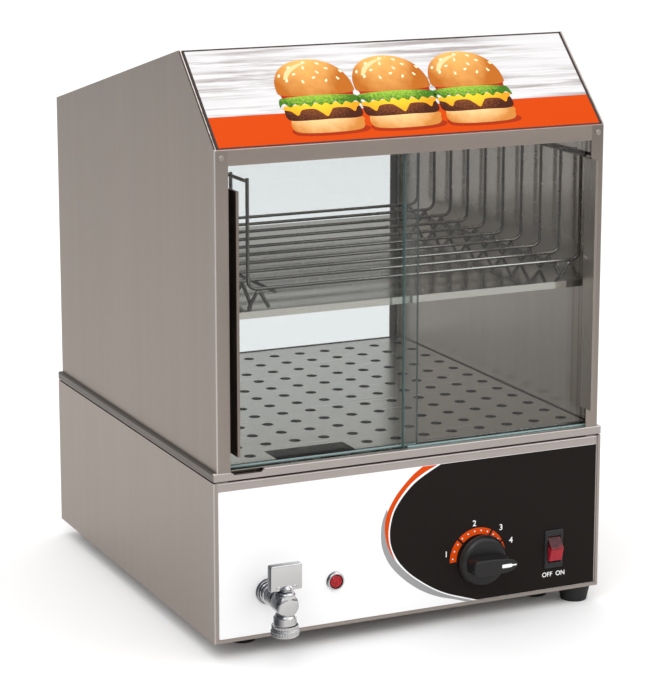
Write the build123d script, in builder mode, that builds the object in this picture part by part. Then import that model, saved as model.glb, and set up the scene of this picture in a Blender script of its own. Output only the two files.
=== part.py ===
"""Hot dog steamer: a counter-top glass cabinet on a heated water-pan base. Millimetres, +Z up, front at -Y.

The origin is the bottom centre of the whole object's bounding box, on the surface that the feet stand on.
"""

import os
from math import atan2, cos, degrees, hypot, radians, sin

from build123d import *

os.makedirs("parts", exist_ok=True)

# ---------------------------------------------------------------- driving dimensions
case_w = 400.0  # overall width of the base and the rim
case_d = 425.0  # overall depth of the base and the rim
base_h = 150.0
rim_h = 9.0
sheet = 1.2  # stainless sheet of every folded part
bend_r = 1.8  # outside radius of the casing's upright bends
rim_edge_r = 1.7
rim_gap = 1.4  # shadow gap between the base and the rim
web_edge_r = 1.1  # rounding of a web's upright edges, inside the sheet's thickness
foot_h = 16.0
foot_inset = 45.5  # casing's sides to the four feet
corner_foot_inset = 17.0  # casing's sides to the fifth foot, under the switch
vent_len = 60.0
vent_w = 4.0
vent_pitch = 12.0
vent_count = 8

# cabinet
cab_side_inset = 4.0
cab_front_inset = 1.0
cab_back_inset = 2.5
front_rise = 289.5  # rim top to the foot of the slanted sign
ridge_rise = 368.5  # rim top to the roof ridge
ridge_setback = 82.0  # front face to the roof ridge
back_rise = 286.5  # rim top to the roof's back edge
post_w = 13.0
slant_flange_w = 3.0
roof_flange_w = 10.0
flange_trim = 4.0  # the roof flanges stop short of the corners
header_h = 14.0
sign_border = 1.2

# sliding doors and their tracks
glass_t = 4.5
groove_w = 5.5
fin_t = 1.2
track_setback = 4.5  # cabinet front face to the tracks
track_web_t = 1.5
door_w = 199.0
door_side_gap = 3.3  # inner wall to the closed right door
left_door_gap = 6.3  # inner wall to the closed left door
door_engagement = 7.0  # glass inside the upper track
pane_corner_r = 2.0
run_gap = 0.3  # clearance of what slides or lifts
handle_t = 2.6
handle_depth = 19.5
handle_len = 239.0
handle_foot_w = 9.0
left_handle_drop = 4.0  # pane's middle to the handle's middle
right_handle_drop = -0.7
left_handle_inset = 9.8
right_handle_inset = 8.9

# rear window
window_channel_w = 6.0
window_channel_d = 8.8
window_groove_depth = 4.0
window_header_h = 16.0
window_channel_drop = 6.0  # roof's back edge to the channels' top
window_play = 0.5

# perforated tray and water pan
tray_rise = 1.0  # tray top above the rim
tray_side_gap = 2.3
rim_overhang = 1.6  # cabinet's inner wall to the edge of the rim's opening
hole_d = 11.0
hole_pitch_x = 29.6
hole_pitch_y = 31.7
hole_columns = 13
hole_rows = 12
hole_shift = -3.0  # tray's middle to the middle of the holes
scoop_x = -90.3  # centre of the cut-out in the tray's front edge
scoop_w = 79.5
scoop_d = 28.0
pan_t = 1.0
pan_depth = 60.0
pan_side_land = 22.0  # casing wall to the pan wall
pan_corner_r = 15.0
pan_play = 1.0  # pan's flange to the rim's outer wall
support_w = 14.0  # inward flanges that carry the pan
ring_w = 10.0  # inward flange on the bottom plate

# shelf and basket
shelf_level = 139.3  # rim top to shelf top
shelf_flange_h = 6.5
shelf_front_gap = 2.4
shelf_side_gap = 1.3
rail_w = 12.0
wire_d = 3.3
weld_bite = 0.15
basket_left_gap = 40.4  # inner wall to the hangers, on the side with room for the hand
basket_right_gap = 7.8
basket_front_gap = 6.4  # rear face of the lower track to the front wire
wire_pitch = 37.4
wire_count = 10
wire_bend_r = 9.0
basket_h = 99.0  # bottom wire to the side rails
basket_lift = 19.2  # shelf top to the bottom wires' axes
cross_wire_inset = 25.0
foot_wire_inset = 10.5
leg_spread = 10.0  # sideways reach of a corner leg

# control panel
notch_inset = 19.0  # rim's left side to the finger notch in its front edge
notch_w = 29.0
notch_depth = 3.0
panel_margin_side = 3.6
label_gap = 1.2  # casing's front strips to the overlay
panel_margin_bottom = 3.0
label_h = 138.0
label_t = 0.5
label_corner_r = 1.5
roll_r = 3.0  # rolled top edge of the front panel
control_level = 43.0  # casing bottom to the line that all controls sit on
knob_inset = 128.5  # casing side to the knob
knob_r = 24.5
knob_depth = 27.0
knob_skirt_t = 8.0
knob_standoff = 1.0
grip_w = 15.0
grip_len = 48.0
grip_corner_r = 2.5
grip_edge_r = 1.5
knob_cap_t = 5.0  # what is left in front of the shaft's bore
knob_recess = 4.5
shaft_r = 3.0
shaft_clearance = 0.1
bush_r = 5.0
bush_len = 3.5  # label face to the bush's end
nut_t = 3.0
nut_overhang = 3.0  # thread to the corners of a small nut
control_body_w = 40.0
control_body_d = 28.0
control_chamfer = 3.0
control_bore = 17.0  # panel to the end of the shaft's bore
shaft_engagement = 14.0  # panel to the shaft's end
switch_inset = 50.0
bezel_w = 20.0
bezel_h = 37.5
bezel_t = 1.8
bezel_corner_r = 1.0
switch_body_w = 16.6
switch_body_h = 33.0
switch_body_d = 22.0
blade_w = 4.8
blade_t = 0.8
blade_len = 8.0
blade_pitch = 8.0
pin_r = 1.5
pin_wall = 0.4
rocker_w = 13.2
rocker_half_h = 12.0
rocker_proud = 8.0
rocker_pivot_depth = 3.0
rocker_tilt = 12.0
rocker_ridge_r = 1.5
pocket_depth = 5.0  # rocker pivot to the pocket's back
pocket_play = 1.2
lamp_inset = 120.0
lamp_bezel_r = 9.2
lamp_bezel_t = 2.5
lamp_lens_r = 6.1
lamp_wall = 0.9
lamp_barrel_len = 20.0
lamp_depth = 10.0  # label face to the lens's back
lamp_dome = 0.8

# drain valve
valve_inset = 52.5
valve_reach = 37.5  # base front to the outlet's axis
escutcheon_r = 12.0
escutcheon_t = 3.0
escutcheon_edge_r = 1.5
valve_r = 11.0
valve_nose = 9.5  # outlet axis to the body's front face
valve_nose_r = 2.5
neck_r = 10.0
neck_drop = 19.0  # body axis to the neck's end
nozzle_r = 14.2
nozzle_ring_r = 13.0
nozzle_ring_h = 4.5
nozzle_h = 10.5
nozzle_bore_r = 7.5
nozzle_foot_r = 1.2
nozzle_top_r = 0.8
water_bore_r = 6.5
spigot_r = 8.0
spigot_len = 12.0  # base front to the spigot's end
stem_r = 4.0
bonnet_r = 8.0
bonnet_rise = 15.5  # body axis to the bonnet's top
lever_w = 31.0
lever_t = 8.0
lever_h = 21.5
lever_corner_r = 2.5
lever_edge = 1.0
drain_setback = 62.0  # base front to the vertical drain pipe
pipe_bend_r = 16.0
union_len = 14.0
union_r = 12.5
drain_nut_t = 6.0
drain_nut_r = 13.0

# inside the base
element_r = 4.0
element_rise = 12.0  # pan floor to the element's axis
element_half_span = 60.0
element_reach = 90.0
element_tail = 14.0  # pan wall to the element's ends
element_nut_t = 6.0
element_nut_overhang = 5.0
support_half_w = 4.0
support_half_l = 6.0
probe_level = 28.0  # pan floor to the low-water probe
probe_len = 22.0
probe_head_len = 10.0
probe_head_r = 8.0
gland_inset = 80.0
gland_level = 36.0
gland_r = 11.0
gland_reach = 9.0
gland_bore_r = 4.5
gland_neck_r = 9.0
gland_neck_len = 10.0
gland_nut_t = 5.0
gland_dome_r = 2.0
gland_nut_r = 13.0
terminal_w = 50.0
terminal_d = 20.0
terminal_h = 16.8
terminal_setback = 80.0  # base back to the terminal block
terminal_well_r = 2.5
terminal_well_depth = 6.0
foot_top_r = 16.0
foot_bottom_r = 12.5
foot_well_r = 6.0
foot_well_depth = 8.0
screw_r = 2.0
screw_head_r = 4.0
screw_head_h = 2.4
rivet_r = 1.6
rivet_play = 0.05
rivet_head_r = 2.7
rivet_head_h = 1.1
edge_r = 0.6  # broken edges of moulded and cast pieces

# ---------------------------------------------------------------- levels and planes worked out from them
half_w = case_w / 2
base_bottom = foot_h
base_top = base_bottom + base_h
rim_top = base_top + rim_h
mid_y = (valve_reach + nozzle_r - gland_reach) / 2
front_y = mid_y - case_d / 2
back_y = mid_y + case_d / 2

cab_half = half_w - cab_side_inset
cab_inner = cab_half - sheet
cab_front = front_y + cab_front_inset
cab_back = back_y - cab_back_inset
slant_z = rim_top + front_rise
ridge_z = rim_top + ridge_rise
ridge_y = cab_front + ridge_setback
roof_back_z = rim_top + back_rise
header_bottom = slant_z - header_h

track_front = cab_front + track_setback
track_depth = 3 * fin_t + 2 * groove_w
track_back = track_front + track_depth
front_groove_y = track_front + fin_t + groove_w / 2
rear_groove_y = front_groove_y + groove_w + fin_t
track_floor = base_top + pan_t + track_web_t
door_bottom = track_floor + run_gap
door_top = header_bottom + door_engagement
left_door_x = -cab_inner + left_door_gap
right_door_x = cab_inner - door_side_gap - door_w

window_front = cab_back - sheet - window_channel_d
window_mid = window_front + window_channel_d / 2
tray_top = rim_top + tray_rise
tray_front = track_back + run_gap
tray_back = window_front - run_gap
tray_half = cab_inner - tray_side_gap
tray_foot = base_top + pan_t

shelf_top = rim_top + shelf_level
shelf_front = track_back + shelf_front_gap
shelf_back = window_front - shelf_front_gap
shelf_half = cab_inner - shelf_side_gap

wire_r = wire_d / 2
basket_z = shelf_top + basket_lift
basket_left = -cab_inner + basket_left_gap
basket_right = cab_inner - basket_right_gap
basket_front = track_back + basket_front_gap
basket_back = basket_front + (wire_count - 1) * wire_pitch
rail_z = basket_z + basket_h

panel_y = front_y + sheet  # front face of the control panel sheet
label_face = panel_y - label_t
control_z = base_bottom + control_level
knob_x = half_w - knob_inset
switch_x = half_w - switch_inset
lamp_x = -half_w + lamp_inset
valve_x = -half_w + valve_inset
gland_x = half_w - gland_inset
pan_floor = base_top - pan_depth
pan_half = half_w - pan_side_land
pan_front = front_y + pan_side_land
pan_back = back_y - pan_side_land
outlet_y = front_y - valve_reach
gland_z = base_bottom + gland_level
barrel_r = lamp_lens_r + lamp_wall + run_gap
lamp_hole_r = barrel_r + run_gap


def facing_front(y):
    """The plane at y that looks to the front: sketch X is X, sketch Y is Z, and it extrudes towards -Y."""
    return Plane(origin=(0, y, 0), x_dir=(1, 0, 0), z_dir=(0, -1, 0))


def block(x_span, y_span, z_span, mode=Mode.ADD):
    """A rectangular block between two limits on each axis, in the part being built."""
    (x0, x1), (y0, y1), (z0, z1) = x_span, y_span, z_span
    with BuildSketch(Plane.XY.offset(z0)) as outline:
        with Locations(((x0 + x1) / 2, (y0 + y1) / 2)):
            Rectangle(x1 - x0, y1 - y0)
    extrude(outline.sketch, amount=z1 - z0, mode=mode)


def drum(center, radius, length, direction, mode=Mode.ADD):
    """A cylinder that starts at center and runs along direction, in the part being built."""
    with BuildSketch(Plane(origin=center, z_dir=direction)) as disc:
        Circle(radius)
    extrude(disc.sketch, amount=length, mode=mode)


def prism_x(points, x0, x1, mode=Mode.ADD):
    """A polygon of (y, z) points extruded from x0 to x1, in the part being built."""
    with BuildSketch(Plane.YZ.offset(x0)) as outline:
        Polygon(*points, align=None)
    extrude(outline.sketch, amount=x1 - x0, mode=mode)


def save(piece, node):
    """Labels a finished piece and writes it under its node name."""
    piece.part.label = node
    export_step(piece.part, f"parts/{node}.step")


def inset(points, depth):
    """The corners of a closed outline moved inwards by depth; the outline runs clockwise."""
    moved = []
    for i, corner in enumerate(points):
        before, after = points[i - 1], points[(i + 1) % len(points)]
        a1 = atan2(corner[1] - before[1], corner[0] - before[0])
        a2 = atan2(after[1] - corner[1], after[0] - corner[0])
        reach = depth / cos((a2 - a1) / 2)
        middle = (a1 + a2) / 2 - radians(90)
        moved.append((corner[0] + reach * cos(middle), corner[1] + reach * sin(middle)))
    return moved


# the cabinet's side outline, clockwise in (y, z): front foot, slant foot, ridge, roof back, back foot
cab_outline = [
    (cab_front, rim_top),
    (cab_front, slant_z),
    (ridge_y, ridge_z),
    (cab_back, roof_back_z),
    (cab_back, rim_top),
]
cab_inside = inset(cab_outline, sheet)
cab_inside_2 = inset(cab_outline, 2 * sheet)
FRONT_FOOT, SLANT_FOOT, RIDGE, ROOF_BACK, BACK_FOOT = range(5)


def edge_strip(start, end, outer, inner):
    """The mitred strip along one edge of the cabinet's outline, between two outlines."""
    return [outer[start], outer[end], inner[end], inner[start]]


def along(start, end, distance):
    """The point at a distance from start on the way to end."""
    share = distance / hypot(end[0] - start[0], end[1] - start[1])
    return (start[0] + share * (end[0] - start[0]), start[1] + share * (end[1] - start[1]))


def shortened(strip, trim):
    """A four-cornered strip with both ends cut back."""
    a, b, c, d = strip
    return [along(a, b, trim), along(b, a, trim), along(c, d, trim), along(d, c, trim)]


# ---------------------------------------------------------------- base casing
window_half = half_w - panel_margin_side
window_bottom = base_bottom + panel_margin_bottom
wall_inner = half_w - sheet
support_z = base_top - sheet

with BuildPart() as base_shell:
    block((-half_w, half_w), (front_y, back_y), (base_bottom, base_top))
    fillet(base_shell.edges().filter_by(Axis.Z), bend_r)
    inside_y = (front_y + sheet, back_y - sheet)
    block((-wall_inner, wall_inner), inside_y, (base_bottom, base_top), Mode.SUBTRACT)
    block((-window_half, window_half), (front_y, front_y + sheet), (window_bottom, base_top), Mode.SUBTRACT)
    # inward flanges: one ring above the bottom plate, and three sides under the pan's rim
    ring_z = (base_bottom + sheet, base_bottom + 2 * sheet)
    ring_y = (front_y + 2 * sheet, back_y - sheet)
    block((-wall_inner, wall_inner), ring_y, ring_z)
    ring_inner = wall_inner - ring_w
    block((-ring_inner, ring_inner), (ring_y[0] + ring_w, ring_y[1] - ring_w), ring_z, Mode.SUBTRACT)
    top_z = (support_z, base_top)
    for side in (-1, 1):
        edge = sorted((side * wall_inner, side * (wall_inner - support_w)))
        block(edge, ring_y, top_z)
    block((-wall_inner, wall_inner), (back_y - sheet - support_w, back_y - sheet), top_z)
    drum((gland_x, back_y, gland_z), gland_neck_r + run_gap, sheet, (0, -1, 0), Mode.SUBTRACT)
save(base_shell, "base_shell")

with BuildPart() as base_front_panel:
    block((-wall_inner, wall_inner), (panel_y, panel_y + sheet), (base_bottom + sheet, base_top))
    block(
        (-(wall_inner - support_w), wall_inner - support_w),
        (panel_y + sheet, panel_y + sheet + support_w),
        (support_z, base_top),
    )
    top_edges = base_front_panel.edges().filter_by(Axis.X).group_by(Axis.Z)
    fillet(top_edges[-1].sort_by(Axis.Y)[0], roll_r)
    fillet(top_edges[-2].sort_by(Axis.Y)[0], roll_r - sheet)
    panel_back = (valve_x, panel_y, control_z)
    drum(panel_back, spigot_r + run_gap, sheet, (0, 1, 0), Mode.SUBTRACT)
    drum((lamp_x, panel_y, control_z), lamp_hole_r, sheet, (0, 1, 0), Mode.SUBTRACT)
    drum((knob_x, panel_y, control_z), bush_r + run_gap, sheet, (0, 1, 0), Mode.SUBTRACT)
    block(
        (switch_x - switch_body_w / 2 - run_gap, switch_x + switch_body_w / 2 + run_gap),
        (panel_y, panel_y + sheet),
        (control_z - switch_body_h / 2 - run_gap, control_z + switch_body_h / 2 + run_gap),
        Mode.SUBTRACT,
    )
save(base_front_panel, "base_front_panel")

label_bottom = window_bottom + run_gap
label_half = window_half - label_gap
with BuildPart() as control_label:
    with BuildSketch(facing_front(panel_y)) as label_outline:
        with Locations((0, label_bottom + label_h / 2)):
            RectangleRounded(2 * label_half, label_h, label_corner_r)
        with Locations((valve_x, control_z)):
            Circle(spigot_r + run_gap, mode=Mode.SUBTRACT)
        with Locations((lamp_x, control_z)):
            Circle(lamp_hole_r, mode=Mode.SUBTRACT)
        with Locations((knob_x, control_z)):
            Circle(bush_r + run_gap, mode=Mode.SUBTRACT)
        with Locations((switch_x, control_z)):
            Rectangle(switch_body_w + 2 * run_gap, switch_body_h + 2 * run_gap, mode=Mode.SUBTRACT)
    extrude(amount=label_t)
save(control_label, "control_label")

# ---------------------------------------------------------------- bottom plate, feet and their screws
foot_x = half_w - foot_inset
foot_spots = [
    (-foot_x, front_y + foot_inset),
    (foot_x, front_y + foot_inset),
    (-foot_x, back_y - foot_inset),
    (foot_x, back_y - foot_inset),
    (half_w - corner_foot_inset, front_y + corner_foot_inset),
]

with BuildPart() as bottom_plate:
    with BuildSketch(Plane.XY.offset(base_bottom)) as plate_outline:
        with Locations((0, (panel_y + back_y - sheet) / 2)):
            Rectangle(2 * wall_inner, back_y - sheet - panel_y)
        with Locations(*foot_spots):
            Circle(screw_r + run_gap, mode=Mode.SUBTRACT)
        with Locations((0, mid_y)):
            with GridLocations(vent_len * 1.5, vent_pitch, 2, vent_count):
                SlotOverall(vent_len, vent_w, mode=Mode.SUBTRACT)
    extrude(amount=sheet)
save(bottom_plate, "bottom_plate")

with BuildPart() as rubber_feet:
    with BuildSketch(Plane.XY) as foot_base:
        with Locations(*foot_spots):
            Circle(foot_bottom_r)
    with BuildSketch(Plane.XY) as foot_wells:
        with Locations(*foot_spots):
            Circle(foot_well_r)
    flare = degrees(atan2(foot_top_r - foot_bottom_r, foot_h))
    extrude(foot_base.sketch, amount=foot_h, taper=-flare)
    extrude(foot_wells.sketch, amount=foot_well_depth, mode=Mode.SUBTRACT)
    for x, y in foot_spots:
        drum((x, y, 0), screw_r + run_gap, foot_h, (0, 0, 1), Mode.SUBTRACT)
save(rubber_feet, "rubber_feet")


def pan_head_screws(spots, head_z, length, direction):
    """Screws at (x, y) spots: the head starts at head_z, and the shank runs along direction (+1 is up)."""
    with BuildPart() as screws:
        for x, y in spots:
            drum((x, y, head_z), screw_head_r, screw_head_h, (0, 0, direction))
            drum((x, y, head_z + direction * screw_head_h), screw_r, length, (0, 0, direction))
    return screws


foot_screw_len = foot_h - foot_well_depth + 2 * sheet + nut_t
foot_screws = pan_head_screws(foot_spots, foot_well_depth - screw_head_h, foot_screw_len, 1)
save(foot_screws, "foot_screws")

with BuildPart() as foot_nuts:
    with BuildSketch(Plane.XY.offset(base_bottom + sheet)) as nut_outline:
        with Locations(*foot_spots):
            RegularPolygon(screw_head_r, 6)
            Circle(screw_r + run_gap, mode=Mode.SUBTRACT)
    extrude(amount=nut_t)
save(foot_nuts, "foot_nuts")

# ---------------------------------------------------------------- water pan and rim
flange_half = wall_inner - pan_play
flange_front = front_y + sheet + pan_play
flange_back = back_y - sheet - pan_play

with BuildPart() as water_pan:
    with BuildSketch(Plane.XY.offset(base_top)) as rim_flange:
        with Locations((0, (flange_front + flange_back) / 2)):
            Rectangle(2 * flange_half, flange_back - flange_front)
    extrude(amount=pan_t)
    with BuildSketch(Plane.XY.offset(pan_floor)) as tub:
        with Locations((0, (pan_front + pan_back) / 2)):
            RectangleRounded(2 * pan_half, pan_back - pan_front, pan_corner_r)
    extrude(amount=pan_depth)
    with BuildSketch(Plane.XY.offset(pan_floor + pan_t)) as hollow:
        with Locations((0, (pan_front + pan_back) / 2)):
            RectangleRounded(2 * (pan_half - pan_t), pan_back - pan_front - 2 * pan_t, pan_corner_r - pan_t)
    extrude(amount=pan_depth, mode=Mode.SUBTRACT)
    drum((valve_x, front_y + drain_setback, pan_floor), water_bore_r, pan_t, (0, 0, 1), Mode.SUBTRACT)
    for side in (-1, 1):
        seat = (pan_half, mid_y + side * element_half_span, pan_floor + pan_t + element_rise)
        drum(seat, element_r + run_gap, pan_t, (-1, 0, 0), Mode.SUBTRACT)
    probe_seat = (-pan_half, mid_y, pan_floor + pan_t + probe_level)
    drum(probe_seat, element_r + run_gap, pan_t, (1, 0, 0), Mode.SUBTRACT)
save(water_pan, "water_pan")

opening_half = cab_inner - rim_overhang
notch_x = (notch_inset - half_w, notch_inset - half_w + notch_w)
skirt_y = (track_front - sheet, cab_back)

with BuildPart() as rim_deck:
    block((-half_w, half_w), (front_y, back_y), (base_top + rim_gap, rim_top))
    fillet(rim_deck.edges().filter_by(Axis.Z), bend_r)
    fillet(rim_deck.faces().sort_by(Axis.Z)[-1].edges(), rim_edge_r)
    block(
        (-wall_inner, wall_inner),
        (front_y + sheet, back_y - sheet),
        (base_top, rim_top - sheet),
        Mode.SUBTRACT,
    )
    # the inner skirt stands on the pan's flange
    block((-opening_half - sheet, opening_half + sheet), skirt_y, (base_top + pan_t, rim_top - sheet))
    opening_y = (track_front, cab_back - sheet)
    block((-opening_half, opening_half), opening_y, (base_top, rim_top), Mode.SUBTRACT)
    with BuildSketch(facing_front(track_front - sheet)) as notch:
        with BuildLine():
            Polyline(
                (notch_x[0] - notch_depth / 2, rim_top),
                (notch_x[0] + notch_depth / 2, rim_top - notch_depth),
                (notch_x[1] - notch_depth / 2, rim_top - notch_depth),
                (notch_x[1] + notch_depth / 2, rim_top),
                close=True,
            )
        make_face()
    extrude(amount=track_front - sheet - front_y, mode=Mode.SUBTRACT)
save(rim_deck, "rim_deck")

with BuildPart() as perforated_tray:
    block((-tray_half, tray_half), (tray_front, tray_back), (tray_foot, tray_top))
    block(
        (-tray_half + sheet, tray_half - sheet),
        (tray_front + sheet, tray_back - sheet),
        (tray_foot, tray_top - sheet),
        Mode.SUBTRACT,
    )
    scoop_span = (scoop_x - scoop_w / 2, scoop_x + scoop_w / 2)
    lip = (scoop_span[0] - sheet, scoop_span[1] + sheet)
    lip_y = (tray_front, tray_front + scoop_d + sheet)
    lip_z = (tray_top - shelf_flange_h, tray_top - sheet)
    block(lip, lip_y, lip_z)
    block(scoop_span, (tray_front, tray_front + scoop_d), (tray_foot, tray_top), Mode.SUBTRACT)
    hole_spots = []
    hole_mid_y = (tray_front + tray_back) / 2 + hole_shift
    for column in range(hole_columns):
        for row in range(hole_rows):
            x = (column - (hole_columns - 1) / 2) * hole_pitch_x
            y = hole_mid_y + (row - (hole_rows - 1) / 2) * hole_pitch_y
            clear_x = abs(x - scoop_x) > scoop_w / 2 + hole_d
            if clear_x or y > tray_front + scoop_d + hole_d:
                hole_spots.append((x, y))
    with BuildSketch(Plane.XY.offset(tray_top)) as steam_holes:
        with Locations(*hole_spots):
            Circle(hole_d / 2)
    extrude(amount=-sheet, mode=Mode.SUBTRACT)
save(perforated_tray, "perforated_tray")

# ---------------------------------------------------------------- cabinet sheet metal
rivet_z = rim_top + front_rise - header_h / 2
rivet_x = cab_half - post_w / 2


def side_panel(side):
    """A side of the cabinet: a five-sided web with front, slant, roof and back flanges."""
    flanges = [
        (FRONT_FOOT, SLANT_FOOT, post_w),
        (SLANT_FOOT, RIDGE, slant_flange_w),
        (ROOF_BACK, BACK_FOOT, post_w),
    ]
    with BuildPart() as panel:
        prism_x(cab_outline, *sorted((side * cab_inner, side * cab_half)))
        outside = panel.faces().filter_by(Axis.X).sort_by(Axis.X)[0 if side < 0 else -1]
        fillet(outside.edges().filter_by(Axis.Z), web_edge_r)
        for start, end, width in flanges:
            strip = edge_strip(start, end, cab_outline, cab_inside)
            prism_x(strip, *sorted((side * cab_inner, side * (cab_half - width))))
        roof_strip = edge_strip(RIDGE, ROOF_BACK, cab_inside, cab_inside_2)
        roof_flange_x = sorted((side * cab_inner, side * (cab_half - roof_flange_w)))
        prism_x(shortened(roof_strip, flange_trim), *roof_flange_x)
        for y, depth in ((cab_front, 1), (cab_back, -1)):
            seat = (side * rivet_x, y, rivet_z)
            drum(seat, rivet_r + rivet_play, sheet, (0, depth, 0), Mode.SUBTRACT)
    return panel


left_side_panel = side_panel(-1)
save(left_side_panel, "left_side_panel")
right_side_panel = side_panel(1)
save(right_side_panel, "right_side_panel")

with BuildPart() as roof_panel:
    prism_x(edge_strip(RIDGE, ROOF_BACK, cab_outline, cab_inside), -cab_inner, cab_inner)
save(roof_panel, "roof_panel")

sign_half = cab_half - slant_flange_w
with BuildPart() as sign_panel:
    prism_x(edge_strip(SLANT_FOOT, RIDGE, cab_outline, cab_inside), -sign_half, sign_half)
save(sign_panel, "sign_panel")

slant_len = hypot(ridge_setback, ridge_rise - front_rise)
slant_dir = (0, ridge_setback / slant_len, (ridge_rise - front_rise) / slant_len)
sign_plane = Plane(origin=(0, cab_front, slant_z), x_dir=(1, 0, 0), z_dir=(0, -slant_dir[2], slant_dir[1]))
with BuildPart() as sign_graphic:
    with BuildSketch(sign_plane) as sign_outline:
        with Locations((0, slant_len / 2)):
            Rectangle(2 * (sign_half - sign_border), slant_len - 2 * sign_border)
    extrude(amount=label_t)
save(sign_graphic, "sign_graphic")

post_inner = cab_half - post_w
with BuildPart() as front_header:
    face = [
        (cab_front, header_bottom),
        cab_outline[SLANT_FOOT],
        cab_inside[SLANT_FOOT],
        (cab_front + sheet, header_bottom),
    ]
    prism_x(face, -post_inner, post_inner)
    shelf_z = (slant_z - 2 * sheet, slant_z - sheet)
    block((-post_inner, post_inner), (cab_front + sheet, track_back), shelf_z)
save(front_header, "front_header")

with BuildPart() as rear_header:
    face = [
        (cab_back, roof_back_z - window_header_h),
        cab_outline[ROOF_BACK],
        cab_inside[ROOF_BACK],
        (cab_back - sheet, roof_back_z - window_header_h),
    ]
    prism_x(face, -post_inner, post_inner)
save(rear_header, "rear_header")

with BuildPart() as cabinet_rivets:
    for side in (-1, 1):
        for y, depth in ((cab_front, 1), (cab_back, -1)):
            drum((side * rivet_x, y, rivet_z), rivet_r, sheet, (0, depth, 0))
            drum((side * rivet_x, y, rivet_z), rivet_head_r, rivet_head_h, (0, -depth, 0))
    rims = cabinet_rivets.edges().filter_by(GeomType.CIRCLE)
    heads = rims.filter_by(lambda e: abs(e.radius - rivet_head_r) < 0.01)
    fillet(heads.group_by(Axis.Y)[0] + heads.group_by(Axis.Y)[-1], rivet_head_h * 0.8)
save(cabinet_rivets, "cabinet_rivets")

# ---------------------------------------------------------------- door tracks, doors and handles


def door_track(x0, x1, web_z, fin_z):
    """A two-groove track from x0 to x1: its web spans web_z and its three fins span fin_z."""
    with BuildPart() as track:
        block((x0, x1), (track_front, track_back), web_z)
        for i in range(3):
            fin_y = track_front + i * (fin_t + groove_w)
            block((x0, x1), (fin_y, fin_y + fin_t), fin_z)
    return track


upper_web = (slant_z - 2 * sheet - track_web_t, slant_z - 2 * sheet)
upper_door_track = door_track(-cab_inner, cab_inner, upper_web, (header_bottom + sheet, upper_web[0]))
save(upper_door_track, "upper_door_track")
lower_web = (base_top + pan_t, track_floor)
lower_door_track = door_track(-opening_half, opening_half, lower_web, (track_floor, rim_top))
save(lower_door_track, "lower_door_track")


def glass_door(left_x, mid_groove_y):
    """A sliding pane with ground edges, standing in one groove."""
    with BuildPart() as pane:
        with BuildSketch(facing_front(mid_groove_y + glass_t / 2)) as outline:
            with Locations((left_x + door_w / 2, (door_bottom + door_top) / 2)):
                RectangleRounded(door_w, door_top - door_bottom, pane_corner_r)
        extrude(amount=glass_t)
        chamfer(pane.faces().sort_by(Axis.Y)[0].edges(), edge_r)
    return pane


left_glass_door = glass_door(left_door_x, rear_groove_y)
save(left_glass_door, "left_glass_door")
right_glass_door = glass_door(right_door_x, front_groove_y)
save(right_glass_door, "right_glass_door")

door_mid_z = (door_bottom + door_top) / 2


def door_handle(outer_x, glass_y, outward, drop):
    """A bent strip: a fin that stands forward of the pane, and a flat foot bonded to the pane."""
    inner_x = outer_x - outward * handle_t
    foot_x = inner_x + outward * handle_foot_w
    middle = door_mid_z - drop
    with BuildPart() as handle:
        z_span = (middle - handle_len / 2, middle + handle_len / 2)
        block(sorted((outer_x, inner_x)), (glass_y - handle_depth, glass_y), z_span)
        block(sorted((inner_x, foot_x)), (glass_y - sheet, glass_y), z_span)
    return handle


rear_glass_face = rear_groove_y - glass_t / 2
front_glass_face = front_groove_y - glass_t / 2
left_fin = left_door_x + left_handle_inset
left_door_handle = door_handle(left_fin, rear_glass_face, -1, left_handle_drop)
save(left_door_handle, "left_door_handle")
right_fin = right_door_x + door_w - right_handle_inset
right_door_handle = door_handle(right_fin, front_glass_face, 1, right_handle_drop)
save(right_door_handle, "right_door_handle")

# ---------------------------------------------------------------- rear window
channel_inner = cab_inner - window_channel_w
channel_top = roof_back_z - window_channel_drop
groove = (window_mid - groove_w / 2, window_mid + groove_w / 2)
channel_y = (window_front, window_front + window_channel_d)
sill_z = (base_top + pan_t, tray_top)
lintel_z = (channel_top - window_channel_w, channel_top)

with BuildPart() as window_channels:
    for side in (-1, 1):
        block(sorted((side * channel_inner, side * cab_inner)), channel_y, (tray_top, channel_top))
        slot_x = sorted((side * channel_inner, side * (channel_inner + window_groove_depth)))
        block(slot_x, groove, (tray_top, channel_top), Mode.SUBTRACT)
    block((-channel_inner, channel_inner), channel_y, lintel_z)
    lintel_groove_z = (lintel_z[0], lintel_z[0] + window_groove_depth)
    block((-channel_inner, channel_inner), groove, lintel_groove_z, Mode.SUBTRACT)
save(window_channels, "window_channels")

with BuildPart() as window_sill:
    block((-opening_half, opening_half), channel_y, sill_z)
    sill_groove_z = (sill_z[1] - window_groove_depth, sill_z[1])
    block((-opening_half, opening_half), groove, sill_groove_z, Mode.SUBTRACT)
save(window_sill, "window_sill")

with BuildPart() as rear_window:
    pane_half = channel_inner + window_groove_depth - window_play
    pane_z = (sill_z[1] - window_groove_depth, lintel_z[0] + window_groove_depth - window_play)
    block((-pane_half, pane_half), (window_mid - glass_t / 2, window_mid + glass_t / 2), pane_z)
save(rear_window, "rear_window")

# ---------------------------------------------------------------- shelf and its rails
with BuildPart() as shelf:
    block((-shelf_half, shelf_half), (shelf_front, shelf_back), (shelf_top - sheet, shelf_top))
    flange_z = (shelf_top - shelf_flange_h, shelf_top - sheet)
    block((-shelf_half, shelf_half), (shelf_front, shelf_front + sheet), flange_z)
    block((-shelf_half, shelf_half), (shelf_back - sheet, shelf_back), flange_z)
save(shelf, "shelf")

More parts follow.
